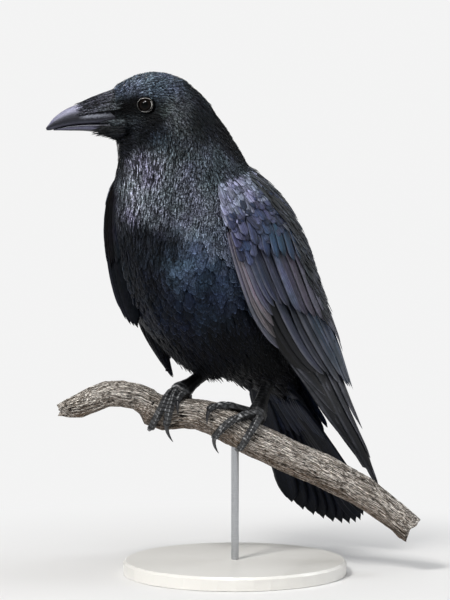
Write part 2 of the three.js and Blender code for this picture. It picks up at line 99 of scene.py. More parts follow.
lamps = {
    "key": {"place": (-1.3, -1.9, 2.4), "size": 0.7, "power": 78, "colour": (1, 0.98, 0.95)},
    "rim": {"place": (1.9, 0.5, 1.7), "size": 1.1, "power": 16, "colour": (0.93, 0.96, 1)},
    "gleam": {"place": (-0.12, -0.9, 1.9), "size": 0.32, "power": 70, "colour": (1, 1, 1), "diffuse": False},
}


def makeLamps():
    for name, lamp in lamps.items():
        data = bpy.data.lights.new(name, "AREA")
        data.size = lamp["size"]
        data.energy = lamp["power"]
        data.color = lamp["colour"]
        obj = bpy.data.objects.new(name, data)
        obj.location = lamp["place"]
        obj.visible_diffuse = lamp.get("diffuse", True)
        aim = Vector((0, 0, 0.3)) - Vector(lamp["place"])
        obj.rotation_euler = aim.to_track_quat("-Z", "Y").to_euler()
        scene.collection.objects.link(obj)


def addNode(tree, kind, inputs=None, **settings):
    made = tree.nodes.new("ShaderNode" + kind)
    for name, value in settings.items():
        setattr(made, name, value)
    for name, value in (inputs or {}).items():
        if isinstance(value, bpy.types.NodeSocket):
            tree.links.new(value, made.inputs[name])
        else:
            made.inputs[name].default_value = value
    return made


def mathNode(tree, operation, *values):
    return addNode(tree, "Math", dict(enumerate(values)), operation=operation).outputs[0]


def mixNode(tree, share, first, second, blend="MIX"):
    under, over = ((*c, 1) if isinstance(c, tuple) else c for c in (first, second))
    inputs = {0: share, 6: under, 7: over}
    return addNode(tree, "Mix", inputs, data_type="RGBA", blend_type=blend).outputs[2]


def grey(tree, value):
    return addNode(tree, "CombineColor", {0: value, 1: value, 2: value}).outputs[0]


def toned(tree, colour, tone):
    return mixNode(tree, 1.0, colour, grey(tree, tone), "MULTIPLY")


def objectPlace(tree):
    return addNode(tree, "TexCoord").outputs["Object"]


def attribute(tree, name, output):
    return addNode(tree, "Attribute", attribute_name=name).outputs[output]


def splitNode(tree, vector):
    return addNode(tree, "SeparateXYZ", {"Vector": vector}).outputs


def scaledNode(tree, vector, factors):
    return addNode(tree, "VectorMath", {0: vector, 1: factors}, operation="MULTIPLY").outputs[0]


def noiseNode(tree, where, scale, detail=2.0, rough=0.5):
    inputs = {"Vector": where, "Scale": scale, "Detail": detail, "Roughness": rough}
    return addNode(tree, "TexNoise", inputs).outputs["Fac"]


# from one span of values to another, 0 to 1 unless told
def spanNode(tree, value, low, high, least=0.0, most=1.0):
    return addNode(tree, "MapRange", {0: value, 1: low, 2: high, 3: least, 4: most}).outputs[0]


def emboss(tree, shader, height, strength, distance):
    bump = addNode(tree, "Bump", {"Height": height, "Strength": strength, "Distance": distance})
    tree.links.new(bump.outputs[0], shader.inputs["Normal"])


def rampNode(tree, value, *stops):
    made = tree.nodes.new("ShaderNodeValToRGB")
    tree.links.new(value, made.inputs[0])
    ramp = made.color_ramp
    while len(ramp.elements) < len(stops):
        ramp.elements.new(0.5)
    for element, (place, colour) in zip(ramp.elements, stops):
        element.position = place
        element.color = (*colour, 1) if isinstance(colour, tuple) else (colour, colour, colour, 1)
    return made.outputs[0]


def newMaterial(name, **settings):
    material = bpy.data.materials.new(name)
    material.use_nodes = True
    tree = material.node_tree
    shader = tree.nodes["Principled BSDF"]
    for socket, value in settings.items():
        shader.inputs[socket.replace("_", " ")].default_value = value
    return material, tree, shader


sky = {"seen": 0.9, "top": 0.5, "level": 0.41, "below": 0.14}


def makeWorld():
    world = bpy.data.worlds.new("studio")
    world.use_nodes = True
    scene.world = world
    tree = world.node_tree
    background = tree.nodes["Background"]
    where = addNode(tree, "TexCoord")
    height = splitNode(tree, where.outputs["Generated"])[2]
    share = mathNode(tree, "MULTIPLY_ADD", height, 0.5, 0.5)
    light = rampNode(tree, share, (0.35, sky["below"]), (0.55, sky["level"]), (0.95, sky["top"]))
    seen = addNode(tree, "LightPath").outputs["Is Camera Ray"]
    colour = mixNode(tree, seen, light, (sky["seen"],) * 3)
    tree.links.new(colour, background.inputs["Color"])


floor = {
    "radius": 9,
    "under": 0.5 * mm,
    "colour": (0.78, 0.78, 0.78),
    "mottle": 0.985,
    "near": 0.13,
    "far": 0.55,
}


def makeFloor():
    bm = bmesh.new()
    bmesh.ops.create_circle(bm, cap_ends=True, segments=96, radius=floor["radius"])
    mesh = bpy.data.meshes.new("floor")
    bm.to_mesh(mesh)
    bm.free()
    obj = bpy.data.objects.new("floor", mesh)
    obj.location.z = -floor["under"]
    material, tree, shader = newMaterial("pale floor", Roughness=0.9)
    where = objectPlace(tree)
    mottle = noiseNode(tree, where, 3.0)
    pale = tuple(c * floor["mottle"] for c in floor["colour"])
    tree.links.new(mixNode(tree, mottle, floor["colour"], pale), shader.inputs["Base Color"])
    # far from the stand the floor has the backdrop's own brightness
    away = addNode(tree, "VectorMath", {0: where}, operation="LENGTH").outputs["Value"]
    span = {0: away, 1: floor["near"], 2: floor["far"]}
    share = addNode(tree, "MapRange", span, interpolation_type="SMOOTHSTEP").outputs[0]
    glow = addNode(tree, "Emission", {"Color": (sky["seen"],) * 3 + (1,)})
    both = addNode(tree, "MixShader", {0: share, 1: shader.outputs[0], 2: glow.outputs[0]})
    tree.links.new(both.outputs[0], tree.nodes["Material Output"].inputs["Surface"])
    mesh.materials.append(material)
    scene.collection.objects.link(obj)


makeCamera()
makeLamps()
makeWorld()
makeFloor()
print("camera, light and floor are set")


# the frame's nodes that the coat covers
fleshNodes = ["trunk", "neck", "head", "mantle", "thigh_left", "thigh_right", "flank_tuft"]
wingNodes = ["wing_left", "wing_right"]


def readRows(rows, key, width=3):
    found = np.empty(len(rows) * width, np.float32)
    rows.foreach_get(key, found)
    return found.reshape(-1, width).astype(float)


def arrayOf(mesh):
    return readRows(mesh.vertices, "co")


def normalsOf(mesh):
    return readRows(mesh.vertex_normals, "vector")


def setPlaces(mesh, places):
    mesh.vertices.foreach_set("co", places.astype(np.float32).ravel())
    mesh.update()


# keeps a value for each corner of a mesh, for the materials to read
def mark(mesh, name, kind, values):
    key = {"FLOAT": "value", "FLOAT_VECTOR": "vector", "FLOAT_COLOR": "color"}[kind]
    layer = mesh.attributes.new(name, kind, "POINT")
    layer.data.foreach_set(key, values.astype(np.float32).ravel())


def markColours(mesh, colours):
    mark(mesh, "marking", "FLOAT_COLOR", np.column_stack([colours, np.ones(len(colours))]))


def treeOf(mesh):
    faces = [tuple(p.vertices) for p in mesh.polygons]
    return BVHTree.FromPolygons([Vector(p) for p in arrayOf(mesh)], faces)


def opened(mesh):
    bm = bmesh.new()
    bm.from_mesh(mesh)
    return bm


def closed(bm, mesh):
    bm.to_mesh(mesh)
    bm.free()
    return mesh


def newMesh(bm, name):
    return closed(bm, bpy.data.meshes.new(name))


def fixFaces(mesh):
    bm = opened(mesh)
    bmesh.ops.recalc_face_normals(bm, faces=bm.faces)
    return closed(bm, mesh)


def copyOf(names, grow=0.0):
    bm = bmesh.new()
    for name in names:
        bm.from_mesh(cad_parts[name].data)
    bmesh.ops.remove_doubles(bm, verts=bm.verts, dist=0.00002)
    bm.normal_update()
    for vertex in bm.verts:
        vertex.co += vertex.normal * grow
    return newMesh(bm, "copy")


def finished(mesh, kind, **settings):
    obj = bpy.data.objects.new("shaping", mesh)
    scene.collection.objects.link(obj)
    modifier = obj.modifiers.new("shaping", kind)
    for name, value in settings.items():
        setattr(modifier, name, value)
    made = bpy.data.meshes.new_from_object(obj.evaluated_get(bpy.context.evaluated_depsgraph_get()))
    bpy.data.objects.remove(obj)
    return made


# one number that puts places in order, to a hundredth of a millimetre
def orderOf(place):
    many = 2**17
    x, y, z = (round(value / (0.01 * mm)) for value in place)
    return (x * many + y) * many + z


def remeshed(mesh, voxel, rounds):
    made = finished(mesh, "REMESH", mode="VOXEL", voxel_size=voxel, use_smooth_shade=True)
    # the voxels come in another order at each run, and the coat is laid by that order
    bm = opened(made)
    bm.verts.sort(key=lambda vertex: orderOf(vertex.co))
    bm.edges.sort(key=lambda edge: orderOf((edge.verts[0].co + edge.verts[1].co) / 2))
    bm.faces.sort(key=lambda face: orderOf(face.calc_center_median()))
    closed(bm, made)
    return finished(made, "SMOOTH", iterations=rounds, factor=0.5) if rounds else made


def addPiece(name, mesh, material, nodes=()):
    mesh.name = name
    mesh.materials.clear()
    mesh.materials.append(material)
    mesh.polygons.foreach_set("use_smooth", np.ones(len(mesh.polygons), bool))
    obj = bpy.data.objects.new(name, mesh)
    scene.collection.objects.link(obj)
    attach(obj, "root")
    if nodes:
        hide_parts(*nodes)
    return obj


# the folded wings lie in one cape: forward, up, half width, depth above and below
capeStations = [
    (-256, 66, 40, 8, 8),
    (-212, 116, 52, 26, 19),
    (-158, 168, 65, 48, 34),
    (-102, 216, 83, 72, 54),
    (-52, 262, 92, 94, 80),
    (-16, 308, 94, 104, 100),
    (12, 358, 90, 96, 98),
    (34, 406, 76, 70, 84),
    (42, 438, 52, 55, 56),
]


def smoothAlong(rows, shares):
    rows = np.asarray(rows, float)
    last = len(rows) - 1
    place = np.asarray(shares, float) * last
    first = np.clip(np.floor(place).astype(int), 0, last - 1)
    part = (place - first)[..., None]
    longer = np.vstack([2 * rows[0] - rows[1], rows, 2 * rows[-1] - rows[-2]])
    before, start, end, after = (longer[first + n] for n in range(4))
    leave = (end - before) / 2
    arrive = (after - start) / 2
    cubic = (2 * start - 2 * end + leave + arrive) * part**3
    return cubic + (3 * end - 3 * start - 2 * leave - arrive) * part**2 + leave * part + start


# a point of a smooth closed form: stations are forward, up, half width, depth above and below
def limbPoint(stations, squareness, share, angle, grow=0.0):
    share, angle, grow = np.broadcast_arrays(share, angle, grow)
    row = smoothAlong(stations, share)
    ahead = smoothAlong(stations, np.clip(share + 0.004, -0.1, 1))[..., :2]
    ahead = unit(ahead - smoothAlong(stations, np.clip(share - 0.004, -0.1, 1))[..., :2])
    power = 2 / squareness
    sine, cosine = np.sin(angle), np.cos(angle)
    depth = np.where(cosine > 0, row[..., 3], row[..., 4]) + grow
    up = depth * np.sign(cosine) * np.abs(cosine) ** power
    across = (row[..., 2] + grow) * np.sign(sine) * np.abs(sine) ** power
    return np.stack([row[..., 0] - ahead[..., 1] * up, across, row[..., 1] + ahead[..., 0] * up], -1)


def capePoint(share, angle, grow=0.0):
    return limbPoint(capeStations, 2.4, share, angle, grow)


# the coat lies on the hull, and the skin is deeper, clear of the feathers' roots
hull = {"grow": 0.4 * mm, "voxel": 2.6 * mm, "rounds": 6, "under": 1.6 * mm, "crown": 0.6 * mm}
skinBody = {"grow": 0.4 * mm, "voxel": 2.8 * mm, "rounds": 5, "under": 4.2 * mm}
# the belly is tucked up between the legs
tuck = {"lift": 8, "up": (232, 195), "left": (-38, -8), "right": (62, 30)}


def tucked(places):
    x, _, z = (places / mm).T
    lift = tuck["lift"] * smoothStep(*tuck["up"], z)
    lift = lift * smoothStep(*tuck["left"], x) * smoothStep(*tuck["right"], x)
    return places + np.stack([0 * x, 0 * x, lift * mm], 1)


nape = {"place": (10, 0, 498), "reach": 42, "rounds": 140}


# the back of the neck runs smoothly into the head
def easeNape(mesh):
    away = np.linalg.norm(into(bird, arrayOf(mesh) / mm) - nape["place"], axis=1)
    bm = opened(mesh)
    bm.verts.ensure_lookup_table()
    near = [bm.verts[n] for n in np.where(away < nape["reach"])[0]]
    for _ in range(nape["rounds"]):
        bmesh.ops.smooth_vert(bm, verts=near, factor=0.5, use_axis_x=True, use_axis_y=True, use_axis_z=True)
    closed(bm, mesh)


def makeHull():
    mesh = remeshed(copyOf(fleshNodes + wingNodes, hull["grow"]), hull["voxel"], hull["rounds"])
    easeNape(mesh)
    places = arrayOf(mesh)
    inHead = into(skull, places / mm)
    crown = smoothStep(12, 30, inHead[:, 2]) * smoothStep(-45, -20, inHead[:, 0])
    under = hull["under"] * (1 - crown) - hull["crown"] * crown
    setPlaces(mesh, tucked(places - normalsOf(mesh) * under[:, None]))
    return mesh


# the body under the folded wings, a form sunk into the cape
innerCape = {"middle": 0.68, "reach": 0.3, "sunk": 8.5, "ends": 26, "below": 45}


def addInnerCape(bm):
    rings = bmesh.ops.create_uvsphere(bm, u_segments=40, v_segments=24, radius=1)["verts"]
    for vertex in rings:
        x, y, z = vertex.co
        share = innerCape["middle"] + innerCape["reach"] * z
        angle = math.atan2(y, x)
        under = smoothStep(0.1, 0.75, -math.cos(angle))
        rounding = 1 - math.sqrt(max(0.0, 1 - z * z))
        grow = -innerCape["sunk"] - innerCape["ends"] * rounding - innerCape["below"] * under
        vertex.co = outOf(bird, capePoint(share, angle, grow)) * mm


def makeSkin():
    mesh = copyOf(fleshNodes, skinBody["grow"])
    bm = opened(mesh)
    addInnerCape(bm)
    skin = remeshed(closed(bm, mesh), skinBody["voxel"], skinBody["rounds"])
    easeNape(skin)
    setPlaces(skin, tucked(arrayOf(skin) - normalsOf(skin) * skinBody["under"]))
    return skin


def unwrap(obj):
    bpy.context.view_layer.objects.active = obj
    obj.select_set(True)
    layer = obj.data.uv_layers.new(name="OFBake")
    obj.data.uv_layers.active = layer
    bpy.ops.object.mode_set(mode="EDIT")
    bpy.ops.mesh.select_all(action="SELECT")
    bpy.ops.uv.smart_project(angle_limit=math.radians(66), island_margin=0.004)
    bpy.ops.object.mode_set(mode="OBJECT")
    obj.select_set(False)


hullMesh = makeHull()
hullTree = treeOf(hullMesh)
skinMesh = makeSkin()
print("hull and skin are made", len(hullMesh.polygons), len(skinMesh.polygons))


# how the coat looks from place to place: frame, place, spacing, length, width, lift, stiffness,
# point, streak, colour; the colour is the plumage's own near-black with painted sheen in it, as
# in the light blue-grey crown, the pale throat hackles and the blue breast
coatPlaces = [
    (skull, (48, 0, 14), 1.5, 6, 1.7, 0.5, 0.1, 0.5, 0.9, "2a2e33"),
    (skull, (42, 8, 22), 1.4, 4.2, 1.4, 0.5, 0.1, 0.4, 0.9, "74828d"),
    (skull, (30, 16, 24), 1.4, 4.2, 1.4, 0.5, 0.1, 0.4, 0.9, "93a1ac"),
    (skull, (14, 20, 26), 1.4, 4.2, 1.4, 0.5, 0.1, 0.4, 0.9, "8d9ba7"),
    (skull, (26, 0, 32), 1.4, 4.2, 1.4, 0.5, 0.1, 0.4, 0.9, "96a5b0"),
    (skull, (0, 0, 38), 1.5, 4.6, 1.5, 0.5, 0.1, 0.4, 0.9, "8c9ca8"),
    (skull, (10, 22, 24), 1.4, 4.4, 1.5, 0.5, 0.1, 0.4, 0.8, "5c6c78"),
    (skull, (-34, 0, 26), 2.0, 8, 2.4, 0.4, 0.1, 0.3, 0.6, "11171a"),
    (skull, (38, 18, 2), 1.3, 4, 1.4, 0.3, 0.1, 0.4, 0.2, "020202"),
    (skull, (28, 22, 6), 1.2, 3.4, 1.3, 0.3, 0.1, 0.3, 0.2, "020203"),
    (skull, (15, 28, 4), 1.2, 3.4, 1.3, 0.3, 0.1, 0.3, 0.2, "030304"),
    (skull, (8, 27, -12), 1.6, 6, 1.6, 0.5, 0.1, 0.5, 0.7, "101113"),
    (skull, (-12, 29, -6), 1.8, 8, 1.8, 0.6, 0.1, 0.6, 0.9, "656b6a"),
    (skull, (-2, 26, -26), 1.9, 8, 2.0, 0.5, 0.1, 0.4, 0.9, "323f4a"),
    (skull, (-34, 26, -10), 2.0, 9, 2.4, 0.5, 0.1, 0.4, 0.7, "151b1e"),
    (skull, (34, 18, -18), 1.6, 7, 1.6, 0.7, 0.15, 0.7, 1.1, "3f4447"),
    (skull, (20, 22, -24), 1.7, 8, 1.7, 0.7, 0.15, 0.7, 0.9, "1b1e21"),
    (skull, (46, 6, -26), 1.6, 8, 1.5, 0.9, 0.25, 0.9, 0.6, "121315"),
    (skull, (37, 3, -40), 1.9, 10, 1.8, 0.7, 0.12, 0.9, 1.1, "2a2d31"),
    (bird, (94, 3, 433), 2.1, 15, 1.9, 1.0, 0.14, 1.0, 1.5, "9da0a8"),
    (bird, (96, 0, 412), 2.2, 18, 2.0, 1.3, 0.25, 1.0, 1.5, "b6b8c0"),
    (bird, (94, 18, 406), 2.1, 14, 2.0, 1.0, 0.2, 0.9, 1.1, "8b8e98"),
    (bird, (86, 42, 405), 2.0, 9, 2.0, 0.6, 0.12, 0.6, 0.7, "7a8088"),
    (bird, (98, 0, 366), 2.6, 17, 2.8, 1.1, 0.22, 0.9, 1.0, "0f1319"),
    (bird, (94, 26, 361), 2.6, 13, 3.0, 0.9, 0.18, 0.7, 0.8, "10141b"),
    (bird, (62, 52, 430), 2.0, 9, 2.1, 0.6, 0.12, 0.6, 0.8, "626a73"),
    (bird, (20, 40, 470), 2.3, 11, 3.2, 0.6, 0.12, 0.3, 0.5, "080b0c"),
    (bird, (-10, 0, 462), 2.9, 14, 4.6, 0.6, 0.12, 0.3, 0.5, "070a0c"),
    (bird, (74, 62, 388), 1.9, 7, 1.9, 0.6, 0.12, 0.5, 0.4, "8b919b"),
    (bird, (66, 72, 364), 2.1, 8, 2.4, 0.6, 0.12, 0.4, 0.4, "7f8696"),
    (bird, (84, 52, 342), 6.0, 16, 12, 1.0, 0.1, 0.0, 0.3, "4d5c6e"),
    (bird, (74, 66, 326), 7.5, 19, 14.5, 1.2, 0.1, 0.0, 0.3, "323f52"),
    (bird, (80, 56, 302), 7.5, 20, 14, 1.3, 0.1, 0.0, 0.35, "1a2332"),
    (bird, (100, 0, 318), 3.6, 16, 5.6, 1.0, 0.16, 0.3, 0.7, "0d1219"),
    (bird, (92, 24, 280), 5.0, 19, 8.5, 1.2, 0.16, 0.1, 0.6, "0e1523"),
    (bird, (60, 0, 240), 3.4, 24, 3.6, 1.6, 0.3, 0.9, 0.9, "060911"),
    (bird, (45, 66, 250), 3.4, 24, 3.8, 1.6, 0.25, 0.9, 0.8, "03050a"),
    (bird, (20, 0, 205), 2.7, 24, 2.1, 3.2, 0.6, 1.0, 0.5, "020304"),
    (bird, (-20, 60, 215), 3.8, 26, 4.2, 2.0, 0.4, 0.9, 0.5, "020304"),
    (bird, (-60, 20, 190), 4.2, 26, 6.5, 1.6, 0.3, 0.7, 0.5, "030408"),
    (bird, (-60, 0, 410), 4.0, 20, 8, 0.9, 0.12, 0.0, 0.5, "12161c"),
    (bird, (-90, 0, 350), 4.6, 26, 11, 1.0, 0.12, 0.0, 0.5, "171c24"),
    (bird, (-130, 0, 260), 4.6, 28, 12, 1.2, 0.15, 0.1, 0.5, "12171f"),
]
coatNumbers = np.array([row[2:9] for row in coatPlaces], float)
coatColours = np.array([shade(row[9]) for row in coatPlaces])


# below the head the borders between the places wander: how far, and over what distance
border = {"wander": 9 * mm, "size": 15 * mm, "up": (480, 430), "soft": 6}


# nearness of points to each place of the table, the same on both sides of the bird
def nearness(points):
    shares = np.empty((len(points), len(coatPlaces)))
    wander = np.array([noise.noise_vector(Vector(p)) for p in points / border["size"]])
    points = points + border["wander"] * wander * smoothStep(*border["up"], points[:, 2:] / mm)
    for own in (skull, bird):
        inside = into(own, points / mm)
        inside[:, 1] = np.abs(inside[:, 1])
        for number, row in enumerate(coatPlaces):
            if row[0] is own:
                away = np.linalg.norm(inside - np.array(row[1]), axis=1)
                shares[:, number] = 1 / (away + border["soft"]) ** 6
    return shares / shares.sum(axis=1, keepdims=True)


# painted shade: the colour is darkened round the far side of the breast, where the sheen fades,
# from a line that leans with the height
farSide = {"heights": (385, 415), "starts": (5, -14), "end": -36, "dark": 0.75, "up": (476, 462)}


def paintedFarShade(points):
    places = into(bird, points / mm)
    start = np.interp(places[:, 2], farSide["heights"], farSide["starts"])
    share = np.clip((start - places[:, 1]) / (start - farSide["end"]), 0, 1)
    return (1 - farSide["dark"] * share * smoothStep(*farSide["up"], places[:, 2]))[:, None]


# the middle line of the bird from the bill to the tail, and down each thigh
headLine = [(70, -4), (40, 2), (10, 4), (-18, -4)]
bodyLine = [
    (54, 462),
    (50, 430),
    (36, 395),
    (20, 355),
    (0, 315),
    (-28, 275),
    (-64, 238),
    (-104, 200),
    (-150, 140),
]
middleLine = [outOf(skull, (x, 0, z)) for x, z in headLine] + [outOf(bird, (x, 0, z)) for x, z in bodyLine]
thighLines = {
    "thigh_right": [outOf(bird, p) for p in ((14, -44, 310), (-4, -42, 262), (-33, -34, 212))],
    "thigh_left": [outOf(bird, p) for p in ((-8, 38, 310), (-34, 36, 254), (-73, 26, 204))],
}


def flowAt(points, normals, line, reach):
    line = np.array(line)
    steps = np.linspace(0, len(line) - 1, 6 * len(line))
    path = smoothAlong(line, steps / (len(line) - 1))
    ways = unit(np.gradient(path, axis=0))
    away = np.linalg.norm(points[:, None] / mm - path[None], axis=2)
    weights = np.exp(-((away - away.min(axis=1, keepdims=True)) / reach))
    flow = (weights[:, :, None] * ways[None]).sum(axis=1)
    flow -= (flow * normals).sum(axis=1, keepdims=True) * normals
    return unit(flow)


def nodeTree(names):
    places, faces, owners = [], [], []
    for name in names:
        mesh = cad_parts[name].data
        start = len(places)
        places += [Vector(p) for p in arrayOf(mesh)]
        faces += [tuple(start + v for v in p.vertices) for p in mesh.polygons]
        owners += [name] * len(mesh.polygons)
    return BVHTree.FromPolygons(places, faces), owners


# "apart" is the least share of the spacing between two roots
scattering = {"seed": 11, "tries": 150000, "apart": 0.82, "cell": 5 * mm}


# points spread over the hull, each at least its own spacing from the others
def scatter():
    rng = np.random.default_rng(scattering["seed"])
    tries = scattering["tries"]
    mesh = hullMesh
    mesh.calc_loop_triangles()
    corners = np.empty(len(mesh.loop_triangles) * 3, np.int32)
    mesh.loop_triangles.foreach_get("vertices", corners)
    corners = corners.reshape(-1, 3)
    places = arrayOf(mesh)
    normals = normalsOf(mesh)
    a, b, c = (places[corners[:, n]] for n in range(3))
    areas = np.linalg.norm(np.cross(b - a, c - a), axis=1) / 2
    # more tries where the coat is finer
    middles = (a + b + c) / 3
    spacing = nearness(middles) @ coatNumbers[:, 0]
    weights = areas / spacing**2
    picked = rng.choice(len(areas), tries, p=weights / weights.sum())
    r1, r2 = np.sqrt(rng.random(tries)), rng.random(tries)
    mix = np.stack([1 - r1, r1 * (1 - r2), r1 * r2], 1)
    points = (places[corners[picked]] * mix[:, :, None]).sum(axis=1)
    ups = unit((normals[corners[picked]] * mix[:, :, None]).sum(axis=1))
    reach = spacing[picked] * mm
    grid = {}
    kept = []
    cells = np.floor(points / scattering["cell"]).astype(int)
    around = [(i, j, k) for i in (-1, 0, 1) for j in (-1, 0, 1) for k in (-1, 0, 1)]
    for number, (x, y, z) in enumerate(cells):
        point = points[number]
        least = reach[number] * scattering["apart"]
        near = (other - point for i, j, k in around for other in grid.get((x + i, y + j, z + k), ()))
        if all(gap @ gap >= least * least for gap in near):
            grid.setdefault((x, y, z), []).append(point)
            kept.append(number)
    return points[kept], ups[kept]


# vanes are thin closed leaves with a raised middle, laid along paths
def leafPattern(columns, rows):
    bm = bmesh.new()
    bmesh.ops.create_grid(bm, x_segments=columns, y_segments=rows, size=1)
    for vertex in bm.verts:
        vertex.co.z = 0
    under = bmesh.ops.duplicate(bm, geom=bm.verts[:] + bm.edges[:] + bm.faces[:])["geom"]
    bmesh.ops.reverse_faces(bm, faces=[g for g in under if isinstance(g, bmesh.types.BMFace)])
    for vertex in [g for g in under if isinstance(g, bmesh.types.BMVert)]:
        if max(abs(vertex.co.x), abs(vertex.co.y)) < 0.999:
            vertex.co.z = -1
    bmesh.ops.remove_doubles(bm, verts=bm.verts, dist=0.0001)
    bm.verts.index_update()
    places = np.array([v.co for v in bm.verts])
    faces = np.array([[v.index for v in f.verts] for f in bm.faces])
    bm.free()
    return {
        "across": places[:, 0],
        "row": np.round((places[:, 1] + 1) / 2 * rows).astype(int),
        "under": -places[:, 2],
        "faces": faces,
    }


spotSize = 0.0014  # of the unwrap, for half a feather


# what the materials read of each leaf: its place across and along the vane with its tone, how it
# lies in metres with a slice of the pattern of its own, its colour, and its spot on the unwrap
def joinedLeaves(pattern, stops, co, sideways, along, tone, marking, bake):
    count, size = co.shape[:2]
    across = pattern["across"]
    share = stops[pattern["row"]]
    vane = np.empty((count, size, 3))
    vane[..., 0] = across
    vane[..., 1] = share
    vane[..., 2] = tone
    lie = np.empty_like(vane)
    lie[..., 0] = sideways
    lie[..., 1] = along
    lie[..., 2] = np.arange(count)[:, None] * 0.37 % 5
    spots = bake[:, None] + spotSize * np.stack([across, 2 * share - 1], -1)[None]
    faces = (pattern["faces"][None] + (np.arange(count) * size)[:, None, None]).reshape(-1, 4)
    mesh = bpy.data.meshes.new("leaves")
    mesh.vertices.add(count * size)
    mesh.vertices.foreach_set("co", co.astype(np.float32).ravel())
    mesh.loops.add(faces.size)
    mesh.loops.foreach_set("vertex_index", faces.astype(np.int32).ravel())
    mesh.polygons.add(len(faces))
    mesh.polygons.foreach_set("loop_start", np.arange(0, faces.size, 4, dtype=np.int32))
    mesh.update(calc_edges=True)
    layer = mesh.uv_layers.new(name="OFBake")
    layer.data.foreach_set("uv", spots.reshape(-1, 2)[faces.ravel()].astype(np.float32).ravel())
    mark(mesh, "vane", "FLOAT_VECTOR", vane)
    mark(mesh, "lie", "FLOAT_VECTOR", lie)
    markColours(mesh, np.repeat(marking, size, axis=0))
    return mesh


# paths, sides and ups are (leaf, row, 3); widths and lengths are per leaf, in metres
def layLeaves(pattern, stops, outline, paths, sides, ups, lengths, widths, lifts, looks, rng):
    row = pattern["row"]
    across = pattern["across"]
    size = (len(paths), len(row))
    stops = np.asarray(stops)
    ways = unit(np.gradient(paths, axis=1))
    ragged = 1 + looks["ragged"] * (rng.random(size) - 0.5) * (np.abs(across) > 0.9)
    half = widths[:, None] / 2
    sideways = across * outline[:, row] * half * ragged
    tip = smoothStep(0.55, 1.0, stops[row])
    along = -looks["round"] * widths[:, None] * across**2 * tip
    along = along + looks["ragged"] * lengths[:, None] * 0.2 * (rng.random(size) - 0.5) * tip
    height = lifts[:, row]
    height = height + looks["camber"] * half * (1 - across**2) * outline[:, row]
    height = height - looks["thick"] * pattern["under"]
    co = paths[:, row] + sides[:, row] * sideways[..., None]
    co += ups[:, row] * height[..., None] + ways[:, row] * along[..., None]
    drawn = stops[row] * lengths[:, None]
    tone, marking, bake = looks["tone"][:, None], looks["marking"], bakePlaces(looks["roots"])
    return joinedLeaves(pattern, stops, co, sideways, drawn, tone, marking, bake)


def oneColour(hexText, count):
    return np.tile(np.array(shade(hexText)), (count, 1))


barbing = {"slant": -0.8, "wander": 1.2 * mm, "apart": 1.0 * mm, "strands": (1, 0.13, 8), "brightest": 2.2}


